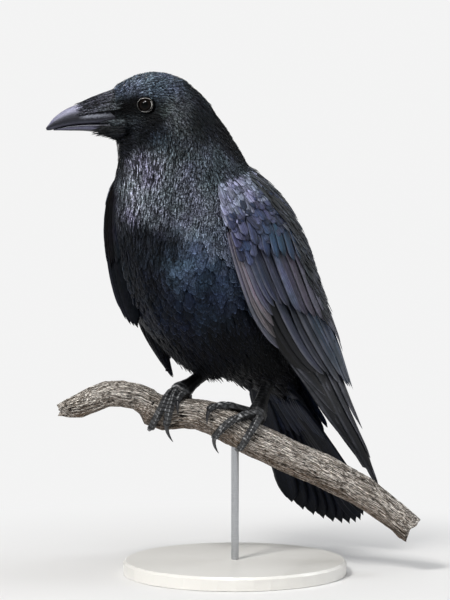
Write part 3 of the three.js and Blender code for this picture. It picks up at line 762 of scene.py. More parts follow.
# strands run along small feathers, barbs slant out from the shaft of large ones
def plumage(name, rough, rim, rimWidth, strands, barbs, specular, vanes=0.0, pale=0.0, grit=0.0):
    material, tree, shader = newMaterial(
        name,
        Roughness=rough,
        Specular_IOR_Level=specular,
        Sheen_Weight=0.04,
        Sheen_Roughness=0.35,
        Sheen_Tint=(0.55, 0.65, 0.9, 1),
    )
    marking = attribute(tree, "marking", "Color")
    vane = attribute(tree, "vane", "Vector")
    lie = attribute(tree, "lie", "Vector")
    where = objectPlace(tree)
    parts = splitNode(tree, vane)
    lies = splitNode(tree, lie)
    out = mathNode(tree, "ABSOLUTE", parts[0])
    slant = mathNode(tree, "MULTIPLY_ADD", mathNode(tree, "ABSOLUTE", lies[0]), barbing["slant"], lies[1])
    wander = noiseNode(tree, lie, 260.0)
    slant = mathNode(tree, "MULTIPLY_ADD", wander, barbing["wander"], slant)
    lines = mathNode(tree, "SINE", mathNode(tree, "MULTIPLY", slant, 2 * math.pi / barbing["apart"]))
    lines = mathNode(tree, "MULTIPLY_ADD", lines, 0.5, 0.5)
    along = scaledNode(tree, lie, barbing["strands"])
    strand = noiseNode(tree, along, 1300.0, 1.0)
    strand = spanNode(tree, strand, 0.34, 0.66, -1.0, 1.0)
    cloud = noiseNode(tree, where, 38.0, 3.0)
    tone = mathNode(tree, "MULTIPLY", parts[2], mathNode(tree, "MULTIPLY_ADD", strand, strands, 1.0))
    tone = mathNode(tree, "MULTIPLY", tone, mathNode(tree, "MULTIPLY_ADD", lines, barbs, 1 - barbs / 2))
    tone = mathNode(tree, "MINIMUM", tone, barbing["brightest"])
    hue = rampNode(tree, cloud, (0.35, shade("b7c2c3")), (0.5, shade("c5c8d1")), (0.66, shade("c0bcd2")))
    body = toned(tree, mixNode(tree, 1.0, marking, hue, "MULTIPLY"), tone)
    if grit:
        dots = noiseNode(tree, where, 620.0, 1.0)
        dots = spanNode(tree, dots, 0.38, 0.62, 1 - grit, 1 + grit)
        body = toned(tree, body, dots)
    # painted shade between the feathers: rim darkens each feather's edges and tip; a negative rim lightens
    # them instead with a painted highlight
    edge = spanNode(tree, out, 1 - rimWidth, 1.0)
    end = spanNode(tree, parts[1], 0.86, 1.0)
    dark = mathNode(tree, "MULTIPLY_ADD", mathNode(tree, "MAXIMUM", edge, end), -rim, 1.0)
    shown = toned(tree, body, dark)
    if vanes:
        # painted shade: darker towards the vane that lies under the next feather, with long streaks
        paintedVaneShade = spanNode(tree, parts[0], -0.7, 0.6, 1 - vanes, 1.2)
        drawn = scaledNode(tree, vane, (5.5, 1.3, 9))
        drawn = noiseNode(tree, drawn, 1.0, 4.0, 0.65)
        drawn = spanNode(tree, drawn, 0.3, 0.7, 0.35, 1.75)
        shown = toned(tree, shown, mathNode(tree, "MULTIPLY", paintedVaneShade, drawn))
    if pale:
        thin = spanNode(tree, parts[0], 0.55, 0.9)
        patchy = spanNode(tree, cloud, 0.35, 0.6, 0.35, 1.0)
        thin = mathNode(tree, "MULTIPLY", mathNode(tree, "MULTIPLY", thin, patchy), pale)
        thin = mathNode(tree, "MULTIPLY", thin, mathNode(tree, "MINIMUM", parts[2], 1.2))
        shown = mixNode(tree, thin, shown, shade("8e909c"))
        outline = spanNode(tree, parts[0], 0.9, 0.97)
        shown = mixNode(tree, mathNode(tree, "MULTIPLY", outline, 0.9), shown, shade("08090b"))
        shaft = spanNode(tree, out, 0.06, 0.02)
        shown = mixNode(tree, mathNode(tree, "MULTIPLY", shaft, 0.8), shown, shade("0c0d10"))
    tree.links.new(shown, shader.inputs["Base Color"])
    height = mathNode(tree, "MULTIPLY_ADD", lines, barbs, mathNode(tree, "MULTIPLY", strand, strands))
    emboss(tree, shader, height, 0.4, 0.0003)
    return material


def skinMaterial():
    material, tree, shader = newMaterial("down", Roughness=0.8, Specular_IOR_Level=0.1)
    marking = attribute(tree, "marking", "Color")
    where = objectPlace(tree)
    grain = noiseNode(tree, where, 500.0, 4.0)
    deep = mixNode(tree, 1.0, marking, (0.3,) * 3, "MULTIPLY")
    tree.links.new(mixNode(tree, grain, deep, marking), shader.inputs["Base Color"])
    emboss(tree, shader, grain, 0.6, 0.0006)
    return material


coats = {
    "fine feathers": {
        "rough": 0.55,
        "rim": 0.3,
        "rimWidth": 0.3,
        "strands": 0.5,
        "barbs": 0.0,
        "specular": 0.08,
        "grit": 0.75,
    },
    "body feathers": {
        "rough": 0.5,
        # a negative rim: painted highlights on the feathers' edges
        "rim": -1.8,
        "rimWidth": 0.24,
        "strands": 0.7,
        "barbs": 0.15,
        "specular": 0.07,
        "grit": 0.4,
    },
    "wing coverts": {
        "rough": 0.5,
        "rim": 0.55,
        "rimWidth": 0.22,
        "strands": 0.35,
        "barbs": 0.4,
        "specular": 0.14,
        "vanes": 0.35,
        "pale": 0.25,
    },
    "sheltered wing feather": {
        "rough": 0.95,
        "rim": 0.4,
        "rimWidth": 0.2,
        "strands": 0.6,
        "barbs": 0.2,
        "specular": 0.0,
    },
    "flight feathers": {
        "rough": 0.45,
        "rim": 0.3,
        "rimWidth": 0.1,
        "strands": 0.2,
        "barbs": 0.5,
        "specular": 0.14,
        "vanes": 0.75,
        "pale": 0.42,
    },
    "tail feathers": {
        "rough": 0.5,
        "rim": 0.5,
        "rimWidth": 0.3,
        "strands": 0.5,
        "barbs": 0.3,
        "specular": 0.08,
        "vanes": 0.3,
    },
}
made = [plumage(name, **settings) for name, settings in coats.items()]
fineCoat, bodyCoat, coverCoat, shelteredCoat, flightCoat, tailCoat = made

skin = addPiece("skin", skinMesh, skinMaterial(), fleshNodes + wingNodes)
unwrap(skin)


skinTone = 0.35  # of the coat's own colour


def markSkin():
    mesh = skin.data
    points = arrayOf(mesh)
    # the skin carries the same painted shade on the far side
    colours = (nearness(points) @ coatColours) * paintedFarShade(points)
    markColours(mesh, colours * skinTone)


markSkin()
skinTree = treeOf(skin.data)


# the place of each root on the skin's own unwrap
def bakePlaces(points):
    mesh = skin.data
    uv = readRows(mesh.uv_layers["OFBake"].data, "uv", 2)
    places = arrayOf(mesh)
    found = np.empty((len(points), 2))
    for number, point in enumerate(points):
        _, _, index, _ = skinTree.find_nearest(Vector(point))
        loops = list(mesh.polygons[index].loop_indices)
        corners = places[list(mesh.polygons[index].vertices)]
        near = 1 / (np.linalg.norm(corners - point, axis=1) + 1e-6)
        found[number] = (uv[loops] * near[:, None]).sum(axis=0) / near.sum()
    return found


# feathers and the finer tufts: rows of corners stand at the stops, shares of the length
leaf = leafPattern(4, 4)
leafStops = np.array([0, 0.3, 0.62, 0.87, 1.0])
tuft = leafPattern(2, 3)
tuftStops = np.array([0, 0.4, 0.8, 1.0])


# half widths at the stops, for feathers from round (0) to pointed (1)
def outlines(stops, points):
    rounded = np.interp(stops, leafStops, [0.35, 0.85, 1, 0.86, 0.42])
    pointed = np.interp(stops, leafStops, [0.4, 1, 0.8, 0.4, 0.08])
    return rounded[None] * (1 - points[:, None]) + pointed[None] * points[:, None]


# each path follows the hull, and a stiff one stands away from it towards the tip
def hullPaths(points, normals, flows, lengths, stiffs, stops):
    count = len(points)
    paths = np.empty((count, len(stops), 3))
    ups = np.empty_like(paths)
    paths[:, 0] = points
    ups[:, 0] = normals
    way = flows.copy()
    for row in range(1, len(stops)):
        step = lengths * (stops[row] - stops[row - 1])
        aim = paths[:, row - 1] + way * step[:, None]
        for number in range(count):
            place, up, _, _ = hullTree.find_nearest(Vector(aim[number]))
            paths[number, row] = place
            ups[number, row] = up
        moved = paths[:, row] - paths[:, row - 1]
        ups[:, row] = unit(ups[:, row] * 0.6 + ups[:, row - 1] * 0.4)
        way = unit(moved)
        way = unit(way - (way * ups[:, row]).sum(axis=1, keepdims=True) * ups[:, row])
        straight = points + flows * (lengths * stops[row])[:, None]
        paths[:, row] += (straight - paths[:, row]) * (stiffs * stops[row])[:, None]
    ways = unit(np.gradient(paths, axis=1))
    sides = unit(np.cross(ways, ups))
    return paths, sides, unit(np.cross(sides, ways))


# a slow wander of light and dark in lines down the throat and breast
streaks = {"size": (7, 4.2, 34), "up": (480, 430), "strength": 0.6}


def longStreaks(points):
    places = into(bird, points / mm)
    drawn = np.array([noise.noise(Vector(p)) for p in places / streaks["size"]])
    return drawn * smoothStep(*streaks["up"], places[:, 2])


coat = {
    "seed": 5,
    "eye": (14.6, 26, 4),
    "eyeClear": 9.4,  # no roots this near the eye, or ahead of where the bill starts
    "billStart": 47,
    "flow": 9.0,
    "throat": {"pull": 0.55, "forward": (45, 85), "top": (478, 455), "end": (300, 360)},
    "sway": 0.12,
    "loose": {"up": (262, 225), "drop": 5},
    "darkest": 0.12,
    "fine": 2.45,  # spacing under which tufts are laid instead of feathers
    "fewest": 40,  # feathers in a piece
    "most": 198000,  # triangles in a piece
    "root": 0.9,  # how deep a feather's root stands in the hull
    "looks": {"ragged": 0.16, "round": 0.22, "camber": 0.16, "thick": 0.25 * mm},
}


# the coat flows back along the body and down the thighs; on the throat it hangs forward
def coatFlows(points, normals, labels):
    flows = flowAt(points, normals, middleLine, coat["flow"])
    for name, line in thighLines.items():
        mine = labels == name
        flows[mine] = flowAt(points[mine], normals[mine], line, coat["flow"])
    inBird = into(bird, points / mm)
    throat = coat["throat"]
    front = smoothStep(*throat["forward"], inBird[:, 0])
    front = front * smoothStep(*throat["top"], inBird[:, 2]) * smoothStep(*throat["end"], inBird[:, 2])
    flows = flows + np.array([throat["pull"], 0, 0]) @ turnOf(bird).T * front[:, None]
    return unit(flows - (flows * normals).sum(axis=1, keepdims=True) * normals)


def makeCoat():
    points, normals = scatter()
    tree, owners = nodeTree(fleshNodes + wingNodes)
    labels = np.array([owners[tree.find_nearest(Vector(p))[2]] for p in points])
    inHead = into(skull, points / mm)
    ahead, out, up = coat["eye"]
    eyes = np.where(inHead[:, 1:2] > 0, [[ahead, out, up]], [[ahead, -out, up]])
    clear = (np.linalg.norm(inHead - eyes, axis=1) > coat["eyeClear"]) & (inHead[:, 0] < coat["billStart"])
    keep = clear & ~np.isin(labels, [*wingNodes, "flank_tuft"])
    points, normals, labels = points[keep], normals[keep], labels[keep]
    shares = nearness(points)
    spacing, length, width, lift, stiff, point, streak = (shares @ coatNumbers).T
    # painted shade darkens the far side of the breast
    colours = (shares @ coatColours) * paintedFarShade(points)
    flows = coatFlows(points, normals, labels)
    rng = np.random.default_rng(coat["seed"])
    count = len(points)
    sway = rng.normal(0, coat["sway"], count)
    flows = unit(flows + np.cross(normals, flows) * sway[:, None])
    length = length * rng.uniform(0.8, 1.2, count) * mm
    width = width * rng.uniform(0.85, 1.15, count) * mm
    # loose ends hang from the lower edge of the belly
    loose = smoothStep(*coat["loose"]["up"], into(bird, points / mm)[:, 2]) * (normals[:, 2] < 0.1)
    lift = lift + loose * coat["loose"]["drop"] * rng.random(count) ** 4
    tone = 1 + streak * (2 * rng.random(count) ** 1.5 - 0.8)
    tone = np.maximum(tone * (1 + streaks["strength"] * streak * longStreaks(points)), coat["darkest"])
    print("coat places", count)
    small = spacing < coat["fine"]
    groups = {}
    for name in sorted(set(labels)):
        for size, mask in (("fine", small), ("full", ~small)):
            found = np.where((labels == name) & mask)[0]
            if len(found) > coat["fewest"]:
                groups[(name, size)] = found
    for (name, size), found in groups.items():
        pattern, stops = (tuft, tuftStops) if size == "fine" else (leaf, leafStops)
        parts = math.ceil(len(found) / (coat["most"] // (2 * len(pattern["faces"]))))
        for part, chosen in enumerate(np.array_split(found, parts)):
            ways = (points[chosen], normals[chosen], flows[chosen], length[chosen], stiff[chosen], stops)
            paths, sides, ups = hullPaths(*ways)
            stand = coat["root"] + lift[chosen, None] + rng.uniform(-0.2, 0.4, (len(chosen), 1))
            lifts = (-coat["root"] + stand * stops[None] ** 1.3) * mm
            looks = {
                **coat["looks"],
                "tone": tone[chosen],
                "roots": points[chosen],
                "marking": colours[chosen],
            }
            shape = outlines(stops, point[chosen])
            sizes = (length[chosen], width[chosen])
            mesh = layLeaves(pattern, stops, shape, paths, sides, ups, *sizes, lifts, looks, rng)
            title = f"coat_{name}_{size}" + (f"_{part + 1}" if parts > 1 else "")
            addPiece(title, mesh, fineCoat if size == "fine" else bodyCoat, [name])


# one long tuft hangs from the flank, drawn together at its end: "girth" is its radius at the root
# and at the end
flankTuft = {
    "line": [(36, -49, 296), (30, -49, 262), (20, -46, 232), (7, -41, 203)],
    "count": 620,
    "girth": (22, 0.3),
    "spread": 0.3,
    "width": 3.0,
    "colour": "0b0d13",
    "seed": 17,
}


def makeFlankTuft():
    rng = np.random.default_rng(flankTuft["seed"])
    count = flankTuft["count"]
    line = outOf(bird, flankTuft["line"])
    start = rng.random((count, 1)) ** 0.8 * (1 - flankTuft["spread"])
    share = start + flankTuft["spread"] * rng.uniform(0.8, 1.0, (count, 1)) * tuftStops
    middle = smoothAlong(line, share)
    ways = unit(np.gradient(middle, axis=1))
    turn = rng.uniform(0, 2 * math.pi, (count, 1))
    first = unit(np.cross(ways, -facing))
    out = first * np.cos(turn)[..., None] + np.cross(ways, first) * np.sin(turn)[..., None]
    wide, narrow = flankTuft["girth"]
    radius = narrow + (wide - narrow) * (1 - share) ** 1.1 + 0.5 * rng.random((count, 1)) * tuftStops
    paths = (middle + out * radius[..., None]) * mm
    lengths = np.linalg.norm(np.diff(paths, axis=1), axis=2).sum(axis=1)
    ways = unit(np.gradient(paths, axis=1))
    sides = unit(np.cross(ways, out))
    looks = {
        **coat["looks"],
        "round": 0.1,
        "tone": 1 + 0.8 * (2 * rng.random(count) ** 1.5 - 0.8),
        "roots": paths[:, 0],
        "marking": oneColour(flankTuft["colour"], count),
    }
    shape = outlines(tuftStops, np.full(count, 0.9))
    widths = flankTuft["width"] * rng.uniform(0.8, 1.2, count) * mm
    flat = np.zeros((count, len(tuftStops)))
    sizes = (lengths, widths)
    mesh = layLeaves(tuft, tuftStops, shape, paths, sides, out, *sizes, flat, looks, rng)
    addPiece("coat_flank_tuft", mesh, bodyCoat, ["flank_tuft"])


makeCoat()
makeFlankTuft()
print("the body coat is laid")


# a feather's root and tip are shares along the cape and degrees round it, 0 on the back and
# 90 at the side; rows run from the front edge of the wing to the back; the blue and lilac in the
# rows' colours are painted sheen on the black feathers
wingRows = {
    "primaries": {
        "count": 10,
        "roots": [(0.70, 106), (0.70, 95), (0.70, 78)],
        "tips": [
            (0.41, 110),
            (0.33, 111),
            (0.265, 113),
            (0.135, 121),
            (0.06, 119),
            (0.02, 113),
            (0.008, 104),
            (0.05, 98),
            (0.10, 91),
            (0.17, 80),
        ],
        "width": (15, 19),
        "heights": (-8.5, -2.8),
        "tilt": 1.5,
        "lean": 0.25,
        "colours": ["1c1e25", "14161c", "1d1f26"],
        "pointed": 0.75,
    },
    "secondaries": {
        "count": 11,
        "roots": [(0.72, 106), (0.74, 82), (0.75, 56)],
        "tips": [(0.43, 111), (0.405, 106), (0.365, 97), (0.325, 87), (0.29, 78), (0.262, 69), (0.243, 61)],
        "width": (15, 24),
        "heights": (-6.5, -0.8),
        "tilt": 1.7,
        "lean": 0.15,
        "colours": ["14161c", "3a3d4b", "1f2631", "2c3e50", "3a4d60"],
        "shaded": 3,
        "pointed": 0.4,
    },
    "tertials": {
        "count": 6,
        "roots": [(0.75, 64), (0.76, 24)],
        "tips": [(0.322, 57), (0.34, 44), (0.36, 30), (0.385, 14)],
        "width": (20, 27),
        "heights": (-5.0, 0.2),
        "tilt": 1.5,
        "lean": 0.1,
        "colours": ["45424b", "2a2e35"],
        "pointed": 0.35,
    },
    "primary_coverts": {
        "count": 6,
        "roots": [(0.81, 110), (0.81, 104), (0.79, 97)],
        "tips": [(0.516, 116), (0.556, 109.5), (0.592, 104.5), (0.614, 98.5)],
        "width": (13, 16),
        "heights": (-4.2, 2.0),
        "tilt": 1.3,
        "lean": 0.15,
        "colours": ["53515b", "776a6c", "5a5f70", "3c4458"],
        "pointed": 0.75,
    },
    "greater_coverts": {
        "count": 10,
        "roots": [(0.78, 95), (0.78, 70), (0.76, 30)],
        "tips": [
            (0.600, 96),
            (0.556, 91),
            (0.52, 87),
            (0.484, 82),
            (0.455, 74),
            (0.44, 64),
            (0.46, 48),
            (0.52, 30),
        ],
        "width": (15, 21),
        "heights": (-4.4, 0.8),
        "tilt": 1.2,
        "lean": 0.1,
        "colours": ["42434f", "4c5064", "4a444e", "686470", "54535d", "2c3138"],
        "pointed": 0.15,
    },
    "median_coverts": {
        "count": 11,
        "roots": [(0.85, 102), (0.84, 70), (0.82, 30)],
        "tips": [
            (0.766, 104),
            (0.77, 99),
            (0.71, 93),
            (0.684, 88),
            (0.655, 80),
            (0.62, 70),
            (0.60, 52),
            (0.62, 28),
        ],
        "width": (13, 19),
        "heights": (-3.4, 1.2),
        "tilt": 1.0,
        "lean": 0.05,
        "colours": ["6b6f86", "3c4763", "314b62", "2c3949", "272d35"],
        "pointed": 0.0,
    },
}
flightRows = ("primaries", "secondaries", "tertials", "primary_coverts")
# small feathers that cover the roots: their span along and round the cape; the blue of the small
# coverts and the pale lilac of the lesser coverts are painted sheen
wingPatches = {
    "small_coverts": {
        "shares": (0.77, 0.89),
        "turns": (50, 108),
        "step": 0.017,
        "across": 7.4,
        "length": 19,
        "width": 10.5,
        "heights": (-1.2, 1.0),
        "colours": ["34435e", "54566e"],
        "spread": 0.5,
        "pointed": 0.0,
        "sway": 2.0,
    },
    "lesser_coverts": {
        "shares": (0.84, 0.99),
        "turns": (40, 110),
        "edge": ((0.88, 0.91, 0.955, 0.99), (109, 105, 97, 86)),
        "step": 0.0085,
        "across": 4.6,
        "length": 13,
        "width": 7.6,
        "heights": (-0.4, 0.7),
        "colours": ["8a90a6", "adb0c2"],
        "spread": 0.5,
        "pointed": 0.0,
        "sway": 1.2,
    },
    "scapulars": {
        "shares": (0.53, 0.995),
        "turns": (-8, 70),
        "step": 0.017,
        "across": 5.2,
        "length": 44,
        "width": 7.0,
        "heights": (-2.6, 2.6),
        "colours": ["32373a", "4b5053"],
        "spread": 0.95,
        "pointed": 0.6,
        "sway": 2.0,
    },
}
vaneLeaf = leafPattern(8, 18)
vaneStops = np.concatenate([np.linspace(0, 0.8, 11)[:-1], np.linspace(0.8, 1, 9)])
smallLeaf = leafPattern(4, 7)
smallStops = np.array([0, 0.25, 0.5, 0.7, 0.84, 0.93, 0.98, 1.0])
# the right wing lies a little closer in, its front edge wrapped round the flank
farWing = {
    "shift": (3, -7, 0),
    "shares": (0, 0.35, 0.5, 0.6, 0.72, 0.85),
    "turns": (0.54, 0.56, 0.66, 0.84, 1.06, 1.34),
    # painted shade: the share of tone left to the right wing's feathers
    "shade": 0.27,
}
# the front edge of the right wing, wrapped round the flank and rounded off below
farRows = {
    "front_coverts_lower": {
        "count": 9,
        "roots": [(0.86, 118), (0.85, 144), (0.86, 167)],
        "tips": [(0.66, 118), (0.655, 130), (0.645, 143), (0.636, 154), (0.636, 162), (0.65, 167)],
        "width": (21, 21),
        "heights": (-1.5, 0.6),
        "tilt": 0.6,
        "colours": ["2d3035", "333130", "2f2e2e", "2b2f35"],
        "pointed": 0.0,
        "spread": 0.5,
    },
    "front_coverts_upper": {
        "count": 12,
        "roots": [(0.985, 114), (0.975, 140), (0.985, 163)],
        "tips": [(0.80, 118), (0.78, 135), (0.765, 150), (0.77, 160), (0.79, 168)],
        "width": (12, 12),
        "heights": (-1.0, 1.4),
        "tilt": 0.6,
        "colours": ["8490a2", "373635", "3a3634", "41464f"],
        "pointed": 0.1,
        "spread": 0.5,
    },
}
# how far the feathers sink into the cape, fading out towards the tips
sunk = {"left": 3.0, "right": 5.5, "shares": (0.35, 0.55)}
# what a row's own settings leave out
wingVane = {
    "wave": 0.03,
    "round": 0.2,
    "camber": 0.06,
    "thick": 0.45,
    "uneven": 0.35,
    "spread": 0.25,
    "lean": 0,
    # painted shade: the first feathers of a row have their tone cut to shadeTone
    "shaded": 0,  # how many feathers lie in the shade of the ones in front
    "shadeTone": 0.12,
}


def farTurn(places):
    places[:, 1] *= np.interp(places[:, 0], farWing["shares"], farWing["turns"])


def vaneOutline(stops, pointed):
    grow = smoothStep(-0.25, 0.3, stops)
    start = 0.82 - 0.3 * pointed
    fall = np.clip((stops - start) / (1.0 - start), 0, 1)
    shape = (1 - fall ** (2.4 - 0.6 * pointed)) ** (0.5 + 0.3 * pointed)
    return np.maximum(grow * shape, 0.06)


# colours blended from a row's list, one for each feather
def rowColours(names, places):
    colours = np.array([shade(n) for n in names])
    if len(names) > 2:
        return smoothAlong(colours, places)
    return colours[0] * (1 - places[:, None]) + colours[1] * places[:, None]


# the same step sideways on the cape, as a step in shares and one in angles
def capeStep(sides, alongShare, alongAngle):
    lengthShare = (alongShare * alongShare).sum(2)
    lengthAngle = (alongAngle * alongAngle).sum(2)
    between = (alongShare * alongAngle).sum(2)
    dotShare = (sides * alongShare).sum(2)
    dotAngle = (sides * alongAngle).sum(2)
    area = lengthShare * lengthAngle - between**2
    moveShare = (dotShare * lengthAngle - dotAngle * between) / area
    moveAngle = (dotAngle * lengthShare - dotShare * between) / area
    return moveShare, moveAngle


# feathers laid on the cape, each bent round it from root to tip
def capeLeaves(side, pattern, stops, roots, tips, widths, own, colours, rng):
    kind = {**wingVane, **own}
    count = len(roots)
    reach = tips - roots
    share = roots[:, :1] + reach[:, :1] * stops
    angle = np.radians(roots[:, 1:] + reach[:, 1:] * stops)
    here = capePoint(share, angle * side)
    alongShare = (capePoint(share + 0.002, angle * side) - here) / 0.002
    alongAngle = (capePoint(share, (angle + 0.01) * side) - here) / 0.01
    ups = unit(np.cross(alongAngle, alongShare))
    outward = here - capePoint(share, 0.0, -60.0)
    ups *= np.sign((ups * outward).sum(axis=2, keepdims=True))
    ways = unit(np.gradient(here, axis=1))
    sides = unit(np.cross(ways, ups)) * side
    lengths = np.linalg.norm(np.diff(here, axis=1), axis=2).sum(axis=1)
    outline = vaneOutline(stops, kind["pointed"])
    row = pattern["row"]
    across = pattern["across"]
    wave = 1 + kind["wave"] * (rng.random((count, len(row))) - 0.5) * (np.abs(across) > 0.9)
    sideways = across * (1 + kind["lean"] * across) * outline[row] * widths[:, None] / 2 * wave
    moveShare, moveAngle = capeStep(sides, alongShare, alongAngle)
    rounding = kind["round"] * (1 - kind["pointed"]) * across**2 * smoothStep(0.7, 1.0, stops[row])
    back = rounding * widths[:, None] / lengths[:, None]
    newShare = share[:, row] + moveShare[:, row] * sideways - back * reach[:, :1]
    newAngle = angle[:, row] + moveAngle[:, row] * sideways - back * np.radians(reach[:, 1:])
    low, high = kind["heights"]
    height = low + (high - low) * stops[row] ** 1.2
    height = height + kind["camber"] * widths[:, None] * (1 - across**2) * outline[row]
    height = height + kind["tilt"] * across * outline[row]
    uneven = rng.uniform(-kind["uneven"], kind["uneven"], (count, 1))
    height = height - kind["thick"] * pattern["under"] + uneven
    height = height - np.interp(share[:, row], sunk["shares"], (0, sunk["left" if side > 0 else "right"]))
    co = capePoint(np.clip(newShare, -0.04, 0.999), newAngle * side, height)
    if side < 0:
        co = co + np.array(farWing["shift"])
    co = outOf(bird, co) * mm
    tone = 1 + kind["spread"] * (2.2 * rng.random((count, 1)) ** 1.5 - 0.85)
    # painted shade: the first feathers of the row are darkened
    tone[: kind["shaded"]] *= kind["shadeTone"]
    # painted shade: the right wing's feathers are darkened
    tone *= farWing["shade"] if side < 0 else 1
    drawn = stops[row] * lengths[:, None] * mm
    bake = bakePlaces(co[:, 0])
    return fixFaces(joinedLeaves(pattern, stops, co, sideways * mm, drawn, tone, colours, bake))


def makeRow(side, name, title, row):
    rng = np.random.default_rng(sum(map(ord, name)) + (50 if side < 0 else 0))
    count = row["count"]
    places = np.linspace(0, 1, count)
    roots = smoothAlong(row["roots"], places) + rng.normal(0, 1, (count, 2)) * [0.004, 0.5]
    tips = smoothAlong(row["tips"], places) + rng.normal(0, 1, (count, 2)) * [0.006, 0.6]
    if side < 0 and name not in farRows:
        farTurn(roots)
        farTurn(tips)
    widths = np.interp(places, [0, 1], row["width"]) * rng.uniform(0.95, 1.05, count)
    colours = rowColours(row["colours"], places) * rng.uniform(0.8, 1.25, (count, 1))
    mesh = capeLeaves(side, vaneLeaf, vaneStops, roots, tips, widths, row, colours, rng)
    cover = shelteredCoat if name in farRows else flightCoat if name in flightRows else coverCoat
    node = "primaries" if name == "primaries" else "wing"
    addPiece(f"{name}_{title}", mesh, cover, [f"{node}_{title}"])


def makePatch(side, name, title, patch):
    rng = np.random.default_rng(sum(map(ord, name)) + (70 if side < 0 else 0))
    low, high = patch["shares"]
    first, last = patch["turns"]
    roots = []
    for number, share in enumerate(np.arange(high, low, -patch["step"])):
        girth = np.linalg.norm(capePoint(share, 1.2) - capePoint(share, 1.0)) / 0.2
        step = math.degrees(patch["across"] / girth)
        roots += [(share, turn) for turn in np.arange(first + step * (number % 2) / 2, last, step)]
    roots = np.array(roots)
    if "edge" in patch:
        roots = roots[roots[:, 1] < np.interp(roots[:, 0], *patch["edge"])]
    count = len(roots)
    roots += rng.normal(0, 1, (count, 2)) * [patch["step"] * 0.2, 0.9]
    if side < 0:
        farTurn(roots)
    lengths = patch["length"] * rng.uniform(0.8, 1.2, count)
    stride = np.linalg.norm(capePoint(roots[:, 0], 1.0) - capePoint(roots[:, 0] - 0.01, 1.0), axis=1) / 0.01
    tips = roots + np.stack([-lengths / stride, rng.normal(0, patch["sway"], count)], 1)
    widths = patch["width"] * rng.uniform(0.85, 1.15, count)
    colours = rowColours(patch["colours"], rng.random(count))
    row = {**patch, "tilt": 0.2, "thick": 0.25}
    cover = flightCoat if name == "scapulars" else coverCoat
    mesh = capeLeaves(side, smallLeaf, smallStops, roots, tips, widths, row, colours, rng)
    addPiece(f"{name}_{title}", mesh, cover, [f"wing_{title}"])


def makeWings():
    for side, title in ((1, "left"), (-1, "right")):
        for name, row in wingRows.items():
            makeRow(side, name, title, row)
        for name, patch in wingPatches.items():
            makePatch(side, name, title, patch)
    for name, row in farRows.items():
        makeRow(-1, name, "right", row)


makeWings()
print("wing feathers are laid")


tail = {
    "pairs": 6,
    "length": 209,
    "root": 17,
    "shift": 2,
    "width": 28,
    "spread": 12,
    "turn": 4.2,
    "rounding": 33,
    "skew": -3,
    "camber": 8,
    "place": (-104, 0, 204),
    "aim": (-0.545, 0, -0.838),
    "up": (-0.838, 0, 0.545),
    "stack": 0.3,
    "sag": 1.5,
    "drop": 1.0,
    "colour": "0d121d",
    "seed": 31,
}
# rows of coverts above and below the root of the tail; below, the far right is bare
tailCoverts = {
    "rows": 5,
    "start": -34,
    "step": 14,
    "count": 12,
    "half": 25,
    "wider": 3,
    "bare": 27,
    "length": 54,
    "width": 11,
    "splay": 0.28,
    "falls": ((-34, 30), (13, 7)),
    "flatten": 0.62,
    "round": 0.004,
    "colour": "141b2b",
}


# feathers on the plane of the tail: starts are ahead of and beside its root, leans are angles
def tailLeaves(name, pattern, stops, starts, leans, lengths, widths, drops, below, colour, pointed, rng):
    aim, up = np.array(tail["aim"]), np.array(tail["up"])
    left = np.array([0, 1, 0])
    along = lengths[:, None] * stops[None]
    ahead = starts[:, :1] + along * np.cos(leans)[:, None]
    aside = starts[:, 1:] + along * np.sin(leans)[:, None]
    paths = np.array(tail["place"]) + aim * ahead[..., None] + left * aside[..., None]
    paths = paths + up * drops[..., None]
    ways = unit(np.gradient(paths, axis=1))
    ups = unit(up + left * aside[..., None] / 500)
    if below:
        ups = -ups
    sides = unit(np.cross(ways, ups))
    paths = outOf(bird, paths) * mm
    sides, ups = sides @ turnOf(bird).T, ups @ turnOf(bird).T
    count = len(starts)
    outline = np.tile(vaneOutline(stops, pointed), (count, 1))
    looks = {
        "ragged": 0.03,
        "round": 0.2,
        "camber": 0.06,
        "thick": 0.6 * mm,
        "tone": 0.8 + 0.5 * rng.random(count),
        "roots": paths[:, 0],
        "marking": oneColour(colour, count),
    }
    flat = np.zeros((count, len(stops)))
    sizes = (lengths * mm, widths * mm)
    mesh = layLeaves(pattern, stops, outline, paths, sides, ups, *sizes, flat, looks, rng)
    addPiece(name, mesh, tailCoat, ["tail"])


